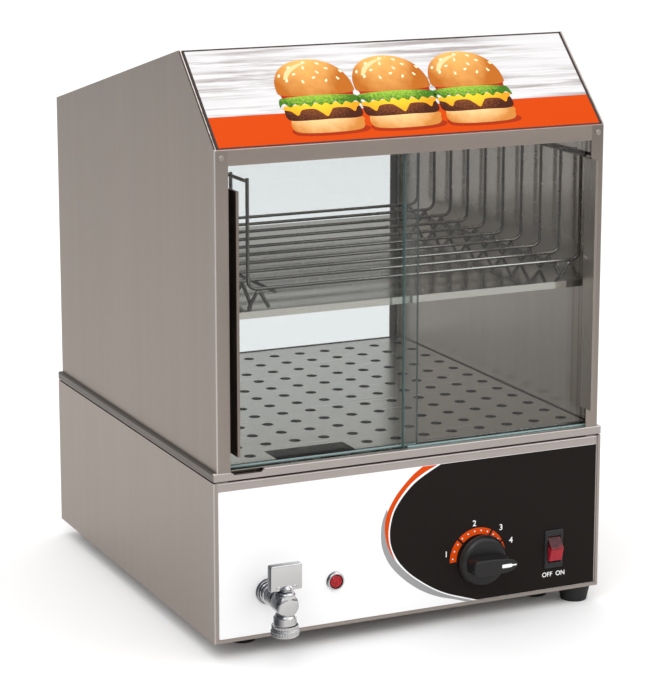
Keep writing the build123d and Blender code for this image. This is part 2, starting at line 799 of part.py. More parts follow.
with BuildPart() as shelf_rails:
    for side in (-1, 1):
        rail_y = (shelf_front + 2 * sheet, shelf_back - 2 * sheet)
        wing = sorted((side * (cab_inner - rail_w), side * cab_inner))
        block(wing, rail_y, (shelf_top - 2 * sheet, shelf_top - sheet))
        web = sorted((side * (cab_inner - sheet), side * cab_inner))
        block(web, rail_y, (shelf_top - shelf_flange_h, shelf_top - 2 * sheet))
save(shelf_rails, "shelf_rails")

# ---------------------------------------------------------------- wire basket
with BuildPart() as basket_wires:
    for i in range(wire_count):
        y = basket_front + i * wire_pitch
        with BuildLine(Plane(origin=(0, y, 0), x_dir=(1, 0, 0), z_dir=(0, -1, 0))) as u_path:
            FilletPolyline(
                (basket_left, rail_z + wire_r),
                (basket_left, basket_z),
                (basket_right, basket_z),
                (basket_right, rail_z + wire_r),
                radius=wire_bend_r,
            )
        with BuildSketch(Plane(origin=(basket_left, y, rail_z + wire_r), z_dir=(0, 0, -1))) as u_section:
            Circle(wire_r)
        sweep(u_section.sketch, path=u_path.line)
save(basket_wires, "basket_wires")

wire_gap = wire_d - weld_bite
with BuildPart() as basket_rails:
    for x in (basket_left - wire_gap, basket_right + wire_gap):
        drum((x, basket_front - wire_r, rail_z), wire_r, basket_back - basket_front + wire_d, (0, 1, 0))
save(basket_rails, "basket_rails")

cross_xs = (basket_left + cross_wire_inset, basket_right - cross_wire_inset)
cross_z = basket_z - wire_gap
cross_len = basket_back - basket_front + 2 * wire_d
with BuildPart() as basket_cross_wires:
    for x in cross_xs:
        drum((x, basket_front - wire_d, cross_z), wire_r, cross_len, (0, 1, 0))
save(basket_cross_wires, "basket_cross_wires")

low_z = shelf_top + wire_r
foot_bend_r = wire_d * 0.7


def bent_wire(plane, corners):
    """A round wire along a filleted line of corners on a plane, in the part being built."""
    with BuildLine(plane) as path:
        FilletPolyline(*corners, radius=foot_bend_r)
    start = path.line @ 0
    with BuildSketch(Plane(origin=start, z_dir=path.line % 0)) as section:
        Circle(wire_r)
    sweep(section.sketch, path=path.line)


with BuildPart() as basket_feet:
    for x in (basket_left + foot_wire_inset, basket_right - foot_wire_inset):
        # between the first and the last wire the foot rises to each wire and drops to the shelf in each gap
        corners = []
        for i in range(1, wire_count - 1):
            wire_y = basket_front + i * wire_pitch
            corners.append((wire_y - wire_pitch / 2, low_z))
            corners.append((wire_y - wire_d / 2, cross_z))
            corners.append((wire_y + wire_d / 2, cross_z))
        corners.append((basket_back - wire_pitch / 2, low_z))
        bent_wire(Plane.YZ.offset(x), corners)
        for y in (basket_front, basket_back):
            left_leg = [(x - leg_spread, low_z), (x - wire_r, cross_z)]
            right_leg = [(x + wire_r, cross_z), (x + leg_spread, low_z)]
            bent_wire(facing_front(y), left_leg + right_leg)
save(basket_feet, "basket_feet")

# ---------------------------------------------------------------- heat control and knob
with BuildPart() as heat_control:
    body_y = (panel_y + sheet, panel_y + sheet + control_body_d)
    half = control_body_w / 2
    block((knob_x - half, knob_x + half), body_y, (control_z - half, control_z + half))
    chamfer(heat_control.edges().filter_by(Axis.Y), control_chamfer)
    bush_reach = sheet + label_t + bush_len
    drum((knob_x, body_y[0], control_z), bush_r, bush_reach, (0, -1, 0))
    bore_start = (knob_x, body_y[0] + control_bore, control_z)
    bore_len = control_bore + bush_reach
    drum(bore_start, shaft_r + shaft_clearance, bore_len, (0, -1, 0), Mode.SUBTRACT)
save(heat_control, "heat_control")

with BuildPart() as control_nut:
    with BuildSketch(facing_front(label_face)) as nut_face:
        with Locations((knob_x, control_z)):
            RegularPolygon(bush_r + nut_overhang, 6)
            Circle(bush_r + run_gap, mode=Mode.SUBTRACT)
    extrude(amount=nut_t)
save(control_nut, "control_nut")

knob_back = front_y - knob_standoff
knob_face = front_y - knob_depth
with BuildPart() as thermostat_knob:
    skirt_face = knob_back - knob_skirt_t
    drum((knob_x, knob_back, control_z), knob_r, knob_skirt_t, (0, -1, 0))
    chamfer(thermostat_knob.faces().sort_by(Axis.Y)[0].edges(), knob_skirt_t * 0.4, knob_skirt_t * 0.25)
    with BuildSketch(facing_front(skirt_face)) as grip_outline:
        with Locations((knob_x, control_z)):
            SlotOverall(grip_len, grip_w)
        with Locations((knob_x - grip_len / 4, control_z)):
            RectangleRounded(grip_len / 2, grip_w, grip_corner_r)
    extrude(amount=knob_depth - knob_standoff - knob_skirt_t)
    fillet(thermostat_knob.faces().sort_by(Axis.Y)[0].edges(), grip_edge_r)
    drum((knob_x, knob_back, control_z), knob_r - knob_recess, knob_recess, (0, -1, 0), Mode.SUBTRACT)
    socket_depth = knob_back - knob_face - knob_cap_t
    drum((knob_x, knob_back, control_z), shaft_r + shaft_clearance, socket_depth, (0, -1, 0), Mode.SUBTRACT)
save(thermostat_knob, "thermostat_knob")

with BuildPart() as control_shaft:
    shaft_back = panel_y + sheet + shaft_engagement
    drum((knob_x, shaft_back, control_z), shaft_r, shaft_back - knob_face - knob_cap_t, (0, -1, 0))
save(control_shaft, "control_shaft")

# ---------------------------------------------------------------- power switch
pivot_y = front_y + rocker_pivot_depth
pocket_back = pivot_y + pocket_depth
pocket_half_h = rocker_half_h + pocket_play
pocket_half_w = rocker_w / 2 + run_gap
with BuildPart() as power_switch:
    with BuildSketch(facing_front(label_face)) as bezel_outline:
        with Locations((switch_x, control_z)):
            RectangleRounded(bezel_w, bezel_h, bezel_corner_r)
    extrude(amount=bezel_t)
    chamfer(power_switch.faces().sort_by(Axis.Y)[0].edges(), edge_r)
    block(
        (switch_x - switch_body_w / 2, switch_x + switch_body_w / 2),
        (label_face, label_face + switch_body_d),
        (control_z - switch_body_h / 2, control_z + switch_body_h / 2),
    )
    block(
        (switch_x - pocket_half_w, switch_x + pocket_half_w),
        (label_face - bezel_t, pocket_back),
        (control_z - pocket_half_h, control_z + pocket_half_h),
        Mode.SUBTRACT,
    )
    pin_half = switch_body_w / 2 - pin_wall
    pin_seat = (switch_x - pin_half, pivot_y, control_z)
    drum(pin_seat, pin_r + shaft_clearance, 2 * pin_half, (1, 0, 0), Mode.SUBTRACT)
    blade_y = (label_face + switch_body_d, label_face + switch_body_d + blade_len)
    for step in (-1, 0, 1):
        blade_z = control_z + step * blade_pitch
        block(
            (switch_x - blade_t / 2, switch_x + blade_t / 2),
            blade_y,
            (blade_z - blade_w / 2, blade_z + blade_w / 2),
        )
save(power_switch, "power_switch")

rocker_edge = -rocker_pivot_depth - 1.5  # the ends' height off the pivot's plane
rocker_back = 2.0
rocker_outline = [
    (-rocker_proud - rocker_pivot_depth, 0.0),
    (rocker_edge, rocker_half_h),
    (rocker_back, rocker_half_h - edge_r),
    (rocker_back, -rocker_half_h + edge_r),
    (rocker_edge, -rocker_half_h),
]
with BuildPart() as power_rocker:
    with BuildSketch(Plane.YZ.offset(switch_x - rocker_w / 2)) as rocker_side:
        with Locations(Location((pivot_y, control_z, 0), (0, 0, -rocker_tilt))):
            Polygon(*rocker_outline, align=None)
    extrude(amount=rocker_w)
    ridge = power_rocker.edges().filter_by(Axis.X).sort_by(Axis.Y)[0]
    fillet(ridge, rocker_ridge_r)
    pin_start = (switch_x - pin_half + shaft_clearance, pivot_y, control_z)
    drum(pin_start, pin_r, 2 * (pin_half - shaft_clearance), (1, 0, 0))
save(power_rocker, "power_rocker")

# ---------------------------------------------------------------- low-water lamp and probe
with BuildPart() as lamp_bezel:
    drum((lamp_x, label_face, control_z), lamp_bezel_r, lamp_bezel_t, (0, -1, 0))
    fillet(lamp_bezel.faces().sort_by(Axis.Y)[0].edges(), lamp_bezel_t * 0.5)
    drum((lamp_x, label_face, control_z), barrel_r, lamp_barrel_len, (0, 1, 0))
    well = (lamp_x, label_face - lamp_bezel_t, control_z)
    drum(well, lamp_lens_r + run_gap, lamp_bezel_t + lamp_depth, (0, 1, 0), Mode.SUBTRACT)
save(lamp_bezel, "lamp_bezel")

with BuildPart() as lamp_lens:
    lens_len = lamp_depth + lamp_bezel_t + lamp_dome
    drum((lamp_x, label_face + lamp_depth, control_z), lamp_lens_r, lens_len, (0, -1, 0))
    fillet(lamp_lens.faces().sort_by(Axis.Y)[0].edges(), lamp_lens_r * 0.4)
save(lamp_lens, "lamp_lens")

probe_z = pan_floor + pan_t + probe_level
with BuildPart() as low_water_probe:
    head = (-pan_half - probe_head_len, mid_y, probe_z)
    drum(head, element_r, probe_head_len + pan_t + probe_len, (1, 0, 0))
    drum(head, probe_head_r, probe_head_len, (1, 0, 0))
save(low_water_probe, "low_water_probe")

# ---------------------------------------------------------------- heating element
element_z = pan_floor + pan_t + element_rise
element_end = pan_half + element_tail
with BuildPart() as heating_element:
    with BuildLine(Plane.XY.offset(element_z)) as loop:
        near, far = mid_y - element_half_span, mid_y + element_half_span
        inbound = Line((element_end, near), (-element_reach, near))
        turn = JernArc(start=inbound @ 1, tangent=inbound % 1, radius=element_half_span, arc_size=-180)
        Line(turn @ 1, (element_end, far))
    with BuildSketch(Plane(origin=(element_end, near, element_z), z_dir=(-1, 0, 0))) as element_section:
        Circle(element_r)
    sweep(element_section.sketch, path=loop.line)
save(heating_element, "heating_element")

with BuildPart() as element_nuts:
    for side in (-1, 1):
        y = mid_y + side * element_half_span
        with BuildSketch(Plane(origin=(pan_half, y, element_z), z_dir=(1, 0, 0))) as hexagon:
            RegularPolygon(element_r + element_nut_overhang, 6)
            Circle(element_r + run_gap, mode=Mode.SUBTRACT)
        extrude(hexagon.sketch, amount=element_nut_t)
save(element_nuts, "element_nuts")

with BuildPart() as element_supports:
    for side in (-1, 1):
        y = mid_y + side * element_half_span
        leg_z = (pan_floor + pan_t, element_z - element_r)
        leg_x = (-element_reach, -element_reach + 2 * support_half_w)
        block(leg_x, (y - support_half_l, y + support_half_l), leg_z)
save(element_supports, "element_supports")

# ---------------------------------------------------------------- drain valve
with BuildPart() as valve_escutcheon:
    drum((valve_x, label_face, control_z), escutcheon_r, escutcheon_t, (0, -1, 0))
    fillet(valve_escutcheon.faces().sort_by(Axis.Y)[0].edges(), escutcheon_edge_r)
    drum((valve_x, label_face, control_z), spigot_r + run_gap, escutcheon_t, (0, -1, 0), Mode.SUBTRACT)
save(valve_escutcheon, "valve_escutcheon")

body_back = label_face - escutcheon_t
body_front = outlet_y - valve_nose
with BuildPart() as valve_body:
    drum((valve_x, body_back, control_z), valve_r, body_back - body_front, (0, -1, 0))
    fillet(valve_body.faces().sort_by(Axis.Y)[0].edges(), valve_nose_r)
    drum((valve_x, outlet_y, control_z), neck_r, neck_drop, (0, 0, -1))
    drum((valve_x, outlet_y, control_z), bonnet_r, bonnet_rise, (0, 0, 1))
    drum((valve_x, body_back, control_z), spigot_r, front_y + spigot_len - body_back, (0, 1, 0))
    inlet = (valve_x, front_y + spigot_len, control_z)
    drum(inlet, water_bore_r, spigot_len + valve_reach, (0, -1, 0), Mode.SUBTRACT)
    drum((valve_x, outlet_y, control_z), water_bore_r, neck_drop, (0, 0, -1), Mode.SUBTRACT)
    stem_seat = control_z + water_bore_r + edge_r
    packing = control_z + bonnet_rise - stem_seat
    drum((valve_x, outlet_y, stem_seat), stem_r + shaft_clearance, packing, (0, 0, 1), Mode.SUBTRACT)
save(valve_body, "valve_body")

neck_end = control_z - neck_drop
with BuildPart() as valve_nozzle:
    drum((valve_x, outlet_y, neck_end), nozzle_ring_r, nozzle_ring_h, (0, 0, -1))
    drum((valve_x, outlet_y, neck_end - nozzle_ring_h), nozzle_r, nozzle_h - nozzle_ring_h, (0, 0, -1))
    fillet(valve_nozzle.edges().filter_by(GeomType.CIRCLE).group_by(Axis.Z)[0], nozzle_foot_r)
    fillet(valve_nozzle.edges().filter_by(GeomType.CIRCLE).group_by(Axis.Z)[-1], nozzle_top_r)
    drum((valve_x, outlet_y, neck_end), nozzle_bore_r, nozzle_h, (0, 0, -1), Mode.SUBTRACT)
save(valve_nozzle, "valve_nozzle")

lever_z = control_z + bonnet_rise + run_gap
with BuildPart() as valve_handle:
    block(
        (valve_x - lever_w / 2, valve_x + lever_w / 2),
        (outlet_y - lever_t / 2, outlet_y + lever_t / 2),
        (lever_z, lever_z + lever_h),
    )
    fillet(valve_handle.edges().filter_by(Axis.Z), lever_corner_r)
    chamfer(valve_handle.faces().sort_by(Axis.Z)[-1].edges(), lever_edge)
    chamfer(valve_handle.faces().sort_by(Axis.Z)[0].edges(), lever_edge)
    drum((valve_x, outlet_y, stem_seat + run_gap), stem_r, lever_z + lever_t - stem_seat, (0, 0, 1))
save(valve_handle, "valve_handle")

pipe_y = front_y + drain_setback
pipe_end = front_y + spigot_len
with BuildPart() as drain_pipe:
    with BuildLine(Plane.YZ.offset(valve_x)) as pipe_path:
        FilletPolyline((pipe_y, pan_floor), (pipe_y, control_z), (pipe_end, control_z), radius=pipe_bend_r)
    with BuildSketch(Plane(origin=(valve_x, pipe_y, pan_floor), z_dir=(0, 0, -1))) as pipe_section:
        Circle(spigot_r)
        Circle(water_bore_r, mode=Mode.SUBTRACT)
    sweep(pipe_section.sketch, path=pipe_path.line)
save(drain_pipe, "drain_pipe")

with BuildPart() as drain_union:
    union_start = (valve_x, pipe_end - union_len / 2, control_z)
    with BuildSketch(Plane(origin=union_start, z_dir=(0, 1, 0))) as union_outline:
        RegularPolygon(union_r, 6)
        Circle(spigot_r + run_gap, mode=Mode.SUBTRACT)
    extrude(amount=union_len)
save(drain_union, "drain_union")

with BuildPart() as drain_nut:
    with BuildSketch(Plane.XY.offset(pan_floor)) as drain_nut_outline:
        with Locations((valve_x, pipe_y)):
            RegularPolygon(drain_nut_r, 6)
            Circle(spigot_r + run_gap, mode=Mode.SUBTRACT)
    extrude(amount=-drain_nut_t)
save(drain_nut, "drain_nut")

# ---------------------------------------------------------------- supply entry and terminal block
with BuildPart() as cord_gland:
    drum((gland_x, back_y, gland_z), gland_r, gland_reach, (0, 1, 0))
    fillet(cord_gland.faces().sort_by(Axis.Y)[-1].edges(), gland_dome_r)
    drum((gland_x, back_y, gland_z), gland_neck_r, sheet + gland_neck_len, (0, -1, 0))
    gland_len = gland_reach + sheet + gland_neck_len
    drum((gland_x, back_y + gland_reach, gland_z), gland_bore_r, gland_len, (0, -1, 0), Mode.SUBTRACT)
save(cord_gland, "cord_gland")

with BuildPart() as gland_nut:
    nut_seat = (gland_x, back_y - sheet, gland_z)
    with BuildSketch(Plane(origin=nut_seat, z_dir=(0, -1, 0))) as gland_nut_outline:
        RegularPolygon(gland_nut_r, 6)
        Circle(gland_neck_r + run_gap, mode=Mode.SUBTRACT)
    extrude(amount=gland_nut_t)
save(gland_nut, "gland_nut")

terminal_y = back_y - terminal_setback
terminal_z = (base_bottom + sheet, base_bottom + sheet + terminal_h)
with BuildPart() as terminal_block:
    block(
        (gland_x - terminal_w / 2, gland_x + terminal_w / 2),
        (terminal_y - terminal_d / 2, terminal_y + terminal_d / 2),
        terminal_z,
    )
    with BuildSketch(Plane.XY.offset(terminal_z[1])) as terminal_wells:
        with Locations((gland_x, terminal_y)):
            with GridLocations(terminal_w / 4, terminal_d / 2, 4, 2):
                Circle(terminal_well_r)
    extrude(amount=-terminal_well_depth, mode=Mode.SUBTRACT)
save(terminal_block, "terminal_block")
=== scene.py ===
from math import atan2, cos, hypot, pi, radians, sin

import bpy
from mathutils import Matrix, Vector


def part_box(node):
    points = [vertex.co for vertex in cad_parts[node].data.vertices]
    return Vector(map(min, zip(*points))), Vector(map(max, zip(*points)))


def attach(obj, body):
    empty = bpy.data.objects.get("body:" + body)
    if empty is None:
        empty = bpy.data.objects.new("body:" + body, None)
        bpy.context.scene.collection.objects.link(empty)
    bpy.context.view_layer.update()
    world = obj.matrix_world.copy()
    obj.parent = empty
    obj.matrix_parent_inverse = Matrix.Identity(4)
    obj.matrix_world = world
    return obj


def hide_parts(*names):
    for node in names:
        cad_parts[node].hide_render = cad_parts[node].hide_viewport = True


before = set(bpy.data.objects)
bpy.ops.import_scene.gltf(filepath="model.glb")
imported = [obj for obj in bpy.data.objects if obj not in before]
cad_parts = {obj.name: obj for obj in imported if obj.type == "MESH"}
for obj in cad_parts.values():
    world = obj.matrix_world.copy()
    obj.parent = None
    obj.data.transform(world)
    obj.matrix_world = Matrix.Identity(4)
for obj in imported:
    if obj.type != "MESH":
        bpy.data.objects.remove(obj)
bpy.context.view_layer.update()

MM = 0.001

# ---------------------------------------------------------------- camera
FOCAL_PX = 2462.0
FRAME_PX = 700.0
SENSOR_MM = 36.0
CAMERA_AT = (-0.995, -2.14172, 0.78532)
CAMERA_YAW = 0.4345
CAMERA_PITCH = 0.2034
VIEW_SHIFT = -0.1
BACKDROP = (1.13, 1.13, 1.13)
FLOOR = (0.95, 0.95, 0.95)
MIRRORED_FLOOR = (0.50, 0.49, 0.48)

camera_data = bpy.data.cameras.new("camera")
camera = bpy.data.objects.new("camera", camera_data)
bpy.context.scene.collection.objects.link(camera)
camera.location = CAMERA_AT
camera.rotation_euler = (pi / 2 - CAMERA_PITCH, 0, -CAMERA_YAW)
camera_data.sensor_width = SENSOR_MM
camera_data.sensor_fit = "AUTO"
camera_data.lens = FOCAL_PX / FRAME_PX * SENSOR_MM
camera_data.shift_y = VIEW_SHIFT
camera_data.clip_end = 50
bpy.context.scene.camera = camera


# ---------------------------------------------------------------- studio
def area_light(name, at, aim, size, power):
    """A square softbox at one point that faces another."""
    data = bpy.data.lights.new(name, "AREA")
    data.size = size
    data.energy = power
    light = bpy.data.objects.new(name, data)
    bpy.context.scene.collection.objects.link(light)
    light.location = at
    away = [a - b for a, b in zip(at, aim)]
    flat = hypot(away[0], away[1])
    light.rotation_euler = (atan2(flat, away[2]), 0, atan2(away[0], -away[1]))
    return light


area_light("key_softbox", at=(-1.3, -1.9, 2.2), aim=(0, 0, 0.25), size=1.6, power=15)
area_light("fill_softbox", at=(1.9, -1.6, 1.5), aim=(0, 0, 0.25), size=1.4, power=5)
area_light("top_softbox", at=(0.1, 0.5, 2.6), aim=(0, 0, 0.3), size=2.2, power=11)
bpy.context.scene.view_settings.view_transform = "Standard"



def colour_ramp(nodes, stops):
    """A colour ramp through (position, colour) stops."""
    ramp = nodes.new("ShaderNodeValToRGB")
    points = ramp.color_ramp.elements
    for point, (position, colour) in ((points[1], stops[-1]), (points[0], stops[0])):
        point.position = position
        point.color = (*colour, 1)
    for position, colour in stops[1:-1]:
        points.new(position).color = (*colour, 1)
    return ramp


# white backdrop; what metal mirrors is a studio with a bright ceiling, a grey horizon and two dark flags
world = bpy.data.worlds.new("studio")
bpy.context.scene.world = world
world.use_nodes = True
sky = world.node_tree.nodes
sky_links = world.node_tree.links
sky_place = sky.new("ShaderNodeTexCoord")
sky_axes = sky.new("ShaderNodeSeparateXYZ")
sky_links.new(sky_place.outputs["Generated"], sky_axes.inputs[0])
height_ramp = colour_ramp(sky, (
    (0.0, (0.22, 0.22, 0.22)), (0.12, (0.40, 0.39, 0.38)), (0.55, (1.0, 1.0, 1.0)), (1.0, (1.25, 1.25, 1.25)),
))
sky_links.new(sky_axes.outputs["Z"], height_ramp.inputs["Fac"])
flag_ramp = colour_ramp(sky, (
    (0.55, (1, 1, 1)), (0.68, (0.25, 0.25, 0.26)), (0.82, (0.8, 0.8, 0.8)), (1.0, (0.75, 0.75, 0.75)),
))
flag_side = sky.new("ShaderNodeMath")
flag_side.operation = "ABSOLUTE"
sky_links.new(sky_axes.outputs["X"], flag_side.inputs[0])
sky_links.new(flag_side.outputs[0], flag_ramp.inputs["Fac"])
mirrored = sky.new("ShaderNodeMix")
mirrored.data_type = "RGBA"
mirrored.blend_type = "MULTIPLY"
mirrored.inputs[0].default_value = 1.0
sky_links.new(height_ramp.outputs["Color"], mirrored.inputs[6])
sky_links.new(flag_ramp.outputs["Color"], mirrored.inputs[7])
rays = sky.new("ShaderNodeLightPath")
seen = sky.new("ShaderNodeMix")
seen.data_type = "RGBA"
sky_links.new(rays.outputs["Is Glossy Ray"], seen.inputs[0])
seen.inputs[6].default_value = (*BACKDROP, 1)
sky_links.new(mirrored.outputs[2], seen.inputs[7])
sky_links.new(seen.outputs[2], sky["Background"].inputs["Color"])

bpy.ops.object.select_all(action="DESELECT")
bpy.ops.mesh.primitive_plane_add(size=12, location=(0, 2, 0))
floor = bpy.context.object
floor.name = "studio_floor"
bpy.ops.object.transform_apply()
floor_material = bpy.data.materials.new("pale floor")
floor_material.use_nodes = True
floor_shader = floor_material.node_tree.nodes["Principled BSDF"]
floor_shader.inputs["Roughness"].default_value = 0.9
floor_shader.inputs["Specular IOR Level"].default_value = 0.1
floor_rays = floor_material.node_tree.nodes.new("ShaderNodeLightPath")
floor_mix = floor_material.node_tree.nodes.new("ShaderNodeMix")
floor_mix.data_type = "RGBA"
floor_mix.inputs[6].default_value = (*FLOOR, 1)
floor_mix.inputs[7].default_value = (*MIRRORED_FLOOR, 1)
floor_material.node_tree.links.new(floor_rays.outputs["Is Glossy Ray"], floor_mix.inputs[0])
floor_material.node_tree.links.new(floor_mix.outputs[2], floor_shader.inputs["Base Color"])
floor.data.materials.append(floor_material)


# ---------------------------------------------------------------- materials
class Surface:
    """A material under construction: one Principled shader, and short ways to feed it."""

    def __init__(self, name, colour, roughness, metallic=0.0):
        self.material = bpy.data.materials.new(name)
        self.material.use_nodes = True
        tree = self.material.node_tree
        self.nodes = tree.nodes
        self.links = tree.links
        self.shader = tree.nodes["Principled BSDF"]
        self.shader.inputs["Base Color"].default_value = (*colour, 1)
        self.shader.inputs["Roughness"].default_value = roughness
        self.shader.inputs["Metallic"].default_value = metallic
        self.place = self.nodes.new("ShaderNodeTexCoord")

    def node(self, kind, **inputs):
        made = self.nodes.new(kind)
        for key, value in inputs.items():
            self.feed(made.inputs[key.replace("_", " ")], value)
        return made

    def feed(self, socket, value):
        if isinstance(value, bpy.types.NodeSocket):
            self.links.new(value, socket)
        else:
            socket.default_value = value

    def stretched(self, scale, turn=(0, 0, 0), shift=(0, 0, 0)):
        """Object coordinates, turned and scaled in metres."""
        mapping = self.node("ShaderNodeMapping", Vector=self.place.outputs["Object"])
        mapping.inputs["Scale"].default_value = scale
        mapping.inputs["Rotation"].default_value = turn
        mapping.inputs["Location"].default_value = shift
        return mapping.outputs["Vector"]

    def noise(self, vector, scale=1.0, detail=3.0, roughness=0.5):
        made = self.node("ShaderNodeTexNoise", Vector=vector, Scale=scale, Detail=detail, Roughness=roughness)
        return made.outputs["Fac"]

    def math(self, operation, *values, clamp=False):
        made = self.nodes.new("ShaderNodeMath")
        made.operation = operation
        made.use_clamp = clamp
        for socket, value in zip(made.inputs, values):
            self.feed(socket, value)
        return made.outputs[0]

    def ramp(self, value, low, high, start=0.0, end=1.0):
        """A number from low to high as value runs from start to end."""
        made = self.node("ShaderNodeMapRange", Value=value)
        made.inputs["From Min"].default_value = start
        made.inputs["From Max"].default_value = end
        made.inputs["To Min"].default_value = low
        made.inputs["To Max"].default_value = high
        return made.outputs["Result"]

    def mix(self, share, first, second):
        made = self.nodes.new("ShaderNodeMix")
        made.data_type = "RGBA"
        self.feed(made.inputs[0], share)
        for socket, value in ((made.inputs[6], first), (made.inputs[7], second)):
            self.feed(socket, value if isinstance(value, bpy.types.NodeSocket) else (*value, 1))
        return made.outputs[2]

    def colour(self, value):
        self.links.new(value, self.shader.inputs["Base Color"])

    def roughness(self, value):
        self.links.new(value, self.shader.inputs["Roughness"])

    def bump(self, height, strength, distance):
        made = self.node("ShaderNodeBump", Height=height, Strength=strength, Distance=distance)
        self.links.new(made.outputs["Normal"], self.shader.inputs["Normal"])

    def axis(self, letter, source="Object"):
        split = self.node("ShaderNodeSeparateXYZ", Vector=self.place.outputs[source])
        return split.outputs[letter]

    def away(self, letter, source="Object"):
        """How far from the middle plane a point lies, whichever side it is on."""
        return self.math("ABSOLUTE", self.axis(letter, source))

    def over(self, value, limit):
        return self.math("GREATER_THAN", value, limit)

    def under(self, value, limit):
        return self.math("LESS_THAN", value, limit)

    def product(self, first, *others):
        for other in others:
            first = self.math("MULTIPLY", first, other)
        return first

    def painted(self):
        """The colour fed to the shader so far."""
        return self.shader.inputs["Base Color"].links[0].from_socket


BRUSH = {"X": (6, 900, 900), "Z": (900, 900, 6)}
INNER_WALL_X = -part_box("left_side_panel")[0].x - 0.0011
ROUGH_LOW_WALL, ROUGH_HIGH_WALL = 0.30, 0.17
WALL_CHANGE_Z = (0.34, 0.40)
SHADE_STRIPE_ZONE_Y = (-0.165, -0.13)


def brushed_steel(name, tone, roughness, grain, mottle=0.06, glossy_inside_with_shade=False):
    """Stainless sheet: fine brushing along one axis and cloudy tone; a side panel is smooth on its inner face, with
    dark upright stripes painted near its front as shade.
    """
    metal = Surface(name, tone, roughness, 1.0)
    lines = metal.noise(metal.stretched(BRUSH[grain]), 1.0, 2.0)
    clouds = metal.noise(metal.stretched((1, 1, 1)), 14.0, 4.0, 0.6)
    streaks = metal.noise(metal.stretched(tuple(max(1.5, s / 14) for s in BRUSH[grain])), 1.0, 3.0, 0.6)
    shade = metal.math("ADD", metal.ramp(lines, -0.09, 0.09), metal.ramp(clouds, -mottle, mottle, 0.3, 0.7))
    shade = metal.math("ADD", shade, metal.ramp(streaks, -mottle * 1.4, mottle * 1.4, 0.25, 0.75))
    dark = tuple(c * 0.86 for c in tone)
    light = tuple(min(1.0, c * 1.14) for c in tone)
    metal.colour(metal.mix(metal.math("ADD", shade, 0.5, clamp=True), dark, light))
    rough = metal.math("ADD", metal.ramp(lines, -0.07, 0.07), metal.ramp(clouds, roughness - 0.05, roughness + 0.05))
    if glossy_inside_with_shade:
        outside = metal.ramp(metal.away("X"), 0.0, 1.0, INNER_WALL_X, INNER_WALL_X + 0.0001)
        inside = metal.ramp(outside, 1.0, 0.0)
        wall_gloss = metal.ramp(metal.axis("Z"), ROUGH_LOW_WALL, ROUGH_HIGH_WALL, *WALL_CHANGE_Z)
        rough = metal.math("ADD", metal.product(rough, outside), metal.product(wall_gloss, inside))
        rough = metal.math("ADD", rough, metal.product(metal.ramp(clouds, -0.05, 0.05), inside))
        lines = metal.product(lines, outside)
        # painted shade: dark upright stripes on the inner face, strongest at the front
        shade_stripes = metal.noise(metal.stretched((1, 190, 0.4)), 1.0, 2.0)
        near_front = metal.product(metal.ramp(metal.axis("Y"), 1.0, 0.0, *SHADE_STRIPE_ZONE_Y), inside)
        stripe_shade_share = metal.math("MULTIPLY", metal.ramp(shade_stripes, 0.0, 0.75, 0.42, 0.6), near_front, clamp=True)
        metal.colour(metal.mix(stripe_shade_share, metal.painted(), (0.16, 0.14, 0.12)))
    metal.roughness(rough)
    metal.bump(lines, 0.06, 0.00004)
    return metal


def bright_bend(metal, half_width, front, reach=0.0013):
    """A light line along the folded upright corners of a sheet box, where the bend catches the light."""
    out = metal.ramp(metal.away("X"), 0.0, 1.0, half_width - reach, half_width - reach * 0.4)
    forward = metal.ramp(metal.axis("Y"), 1.0, 0.0, front + reach * 0.4, front + reach)
    metal.colour(metal.mix(metal.product(out, forward, 0.75), metal.painted(), (1.0, 0.98, 0.96)))


def plain_metal(name, tone, roughness, wear_scale=60.0):
    """Smooth metal with faint smears in its gloss."""
    metal = Surface(name, tone, roughness, 1.0)
    smear = metal.noise(metal.stretched((1, 1, 1)), wear_scale, 3.0)
    metal.roughness(metal.ramp(smear, roughness * 0.6, roughness * 1.5, 0.3, 0.7))
    metal.colour(metal.mix(smear, tuple(c * 0.9 for c in tone), tuple(min(1, c * 1.08) for c in tone)))
    return metal


def moulded(name, tone, roughness, grain_scale=900.0, bump=0.15):
    """Moulded plastic or rubber with a fine grain."""
    plastic = Surface(name, tone, roughness)
    grain = plastic.noise(plastic.stretched((1, 1, 1)), grain_scale, 2.0)
    patch = plastic.noise(plastic.stretched((1, 1, 1)), 45.0, 2.0)
    plastic.roughness(plastic.ramp(patch, roughness * 0.85, roughness * 1.2, 0.3, 0.7))
    plastic.colour(plastic.mix(patch, tuple(c * 0.8 for c in tone), tuple(min(1, c * 1.25) for c in tone)))
    plastic.bump(grain, bump, 0.00005)
    return plastic


SIDE_TONE = (0.485, 0.425, 0.385)
FRONT_TONE = (0.65, 0.585, 0.56)
POST_TONE = (0.50, 0.43, 0.385)
side_steel = brushed_steel("casing steel, brushed upright", (0.555, 0.49, 0.45), 0.36, "Z")
wall_steel = brushed_steel("cabinet steel, smooth inside", SIDE_TONE, 0.36, "Z", 0.09, True)
front_steel = brushed_steel("front steel, brushed across", FRONT_TONE, 0.34, "X", 0.04)
header_steel = brushed_steel("header steel, brushed across", POST_TONE, 0.36, "X", 0.08)
rim_steel = brushed_steel("rim steel, brushed across", FRONT_TONE, 0.34, "X", 0.04)
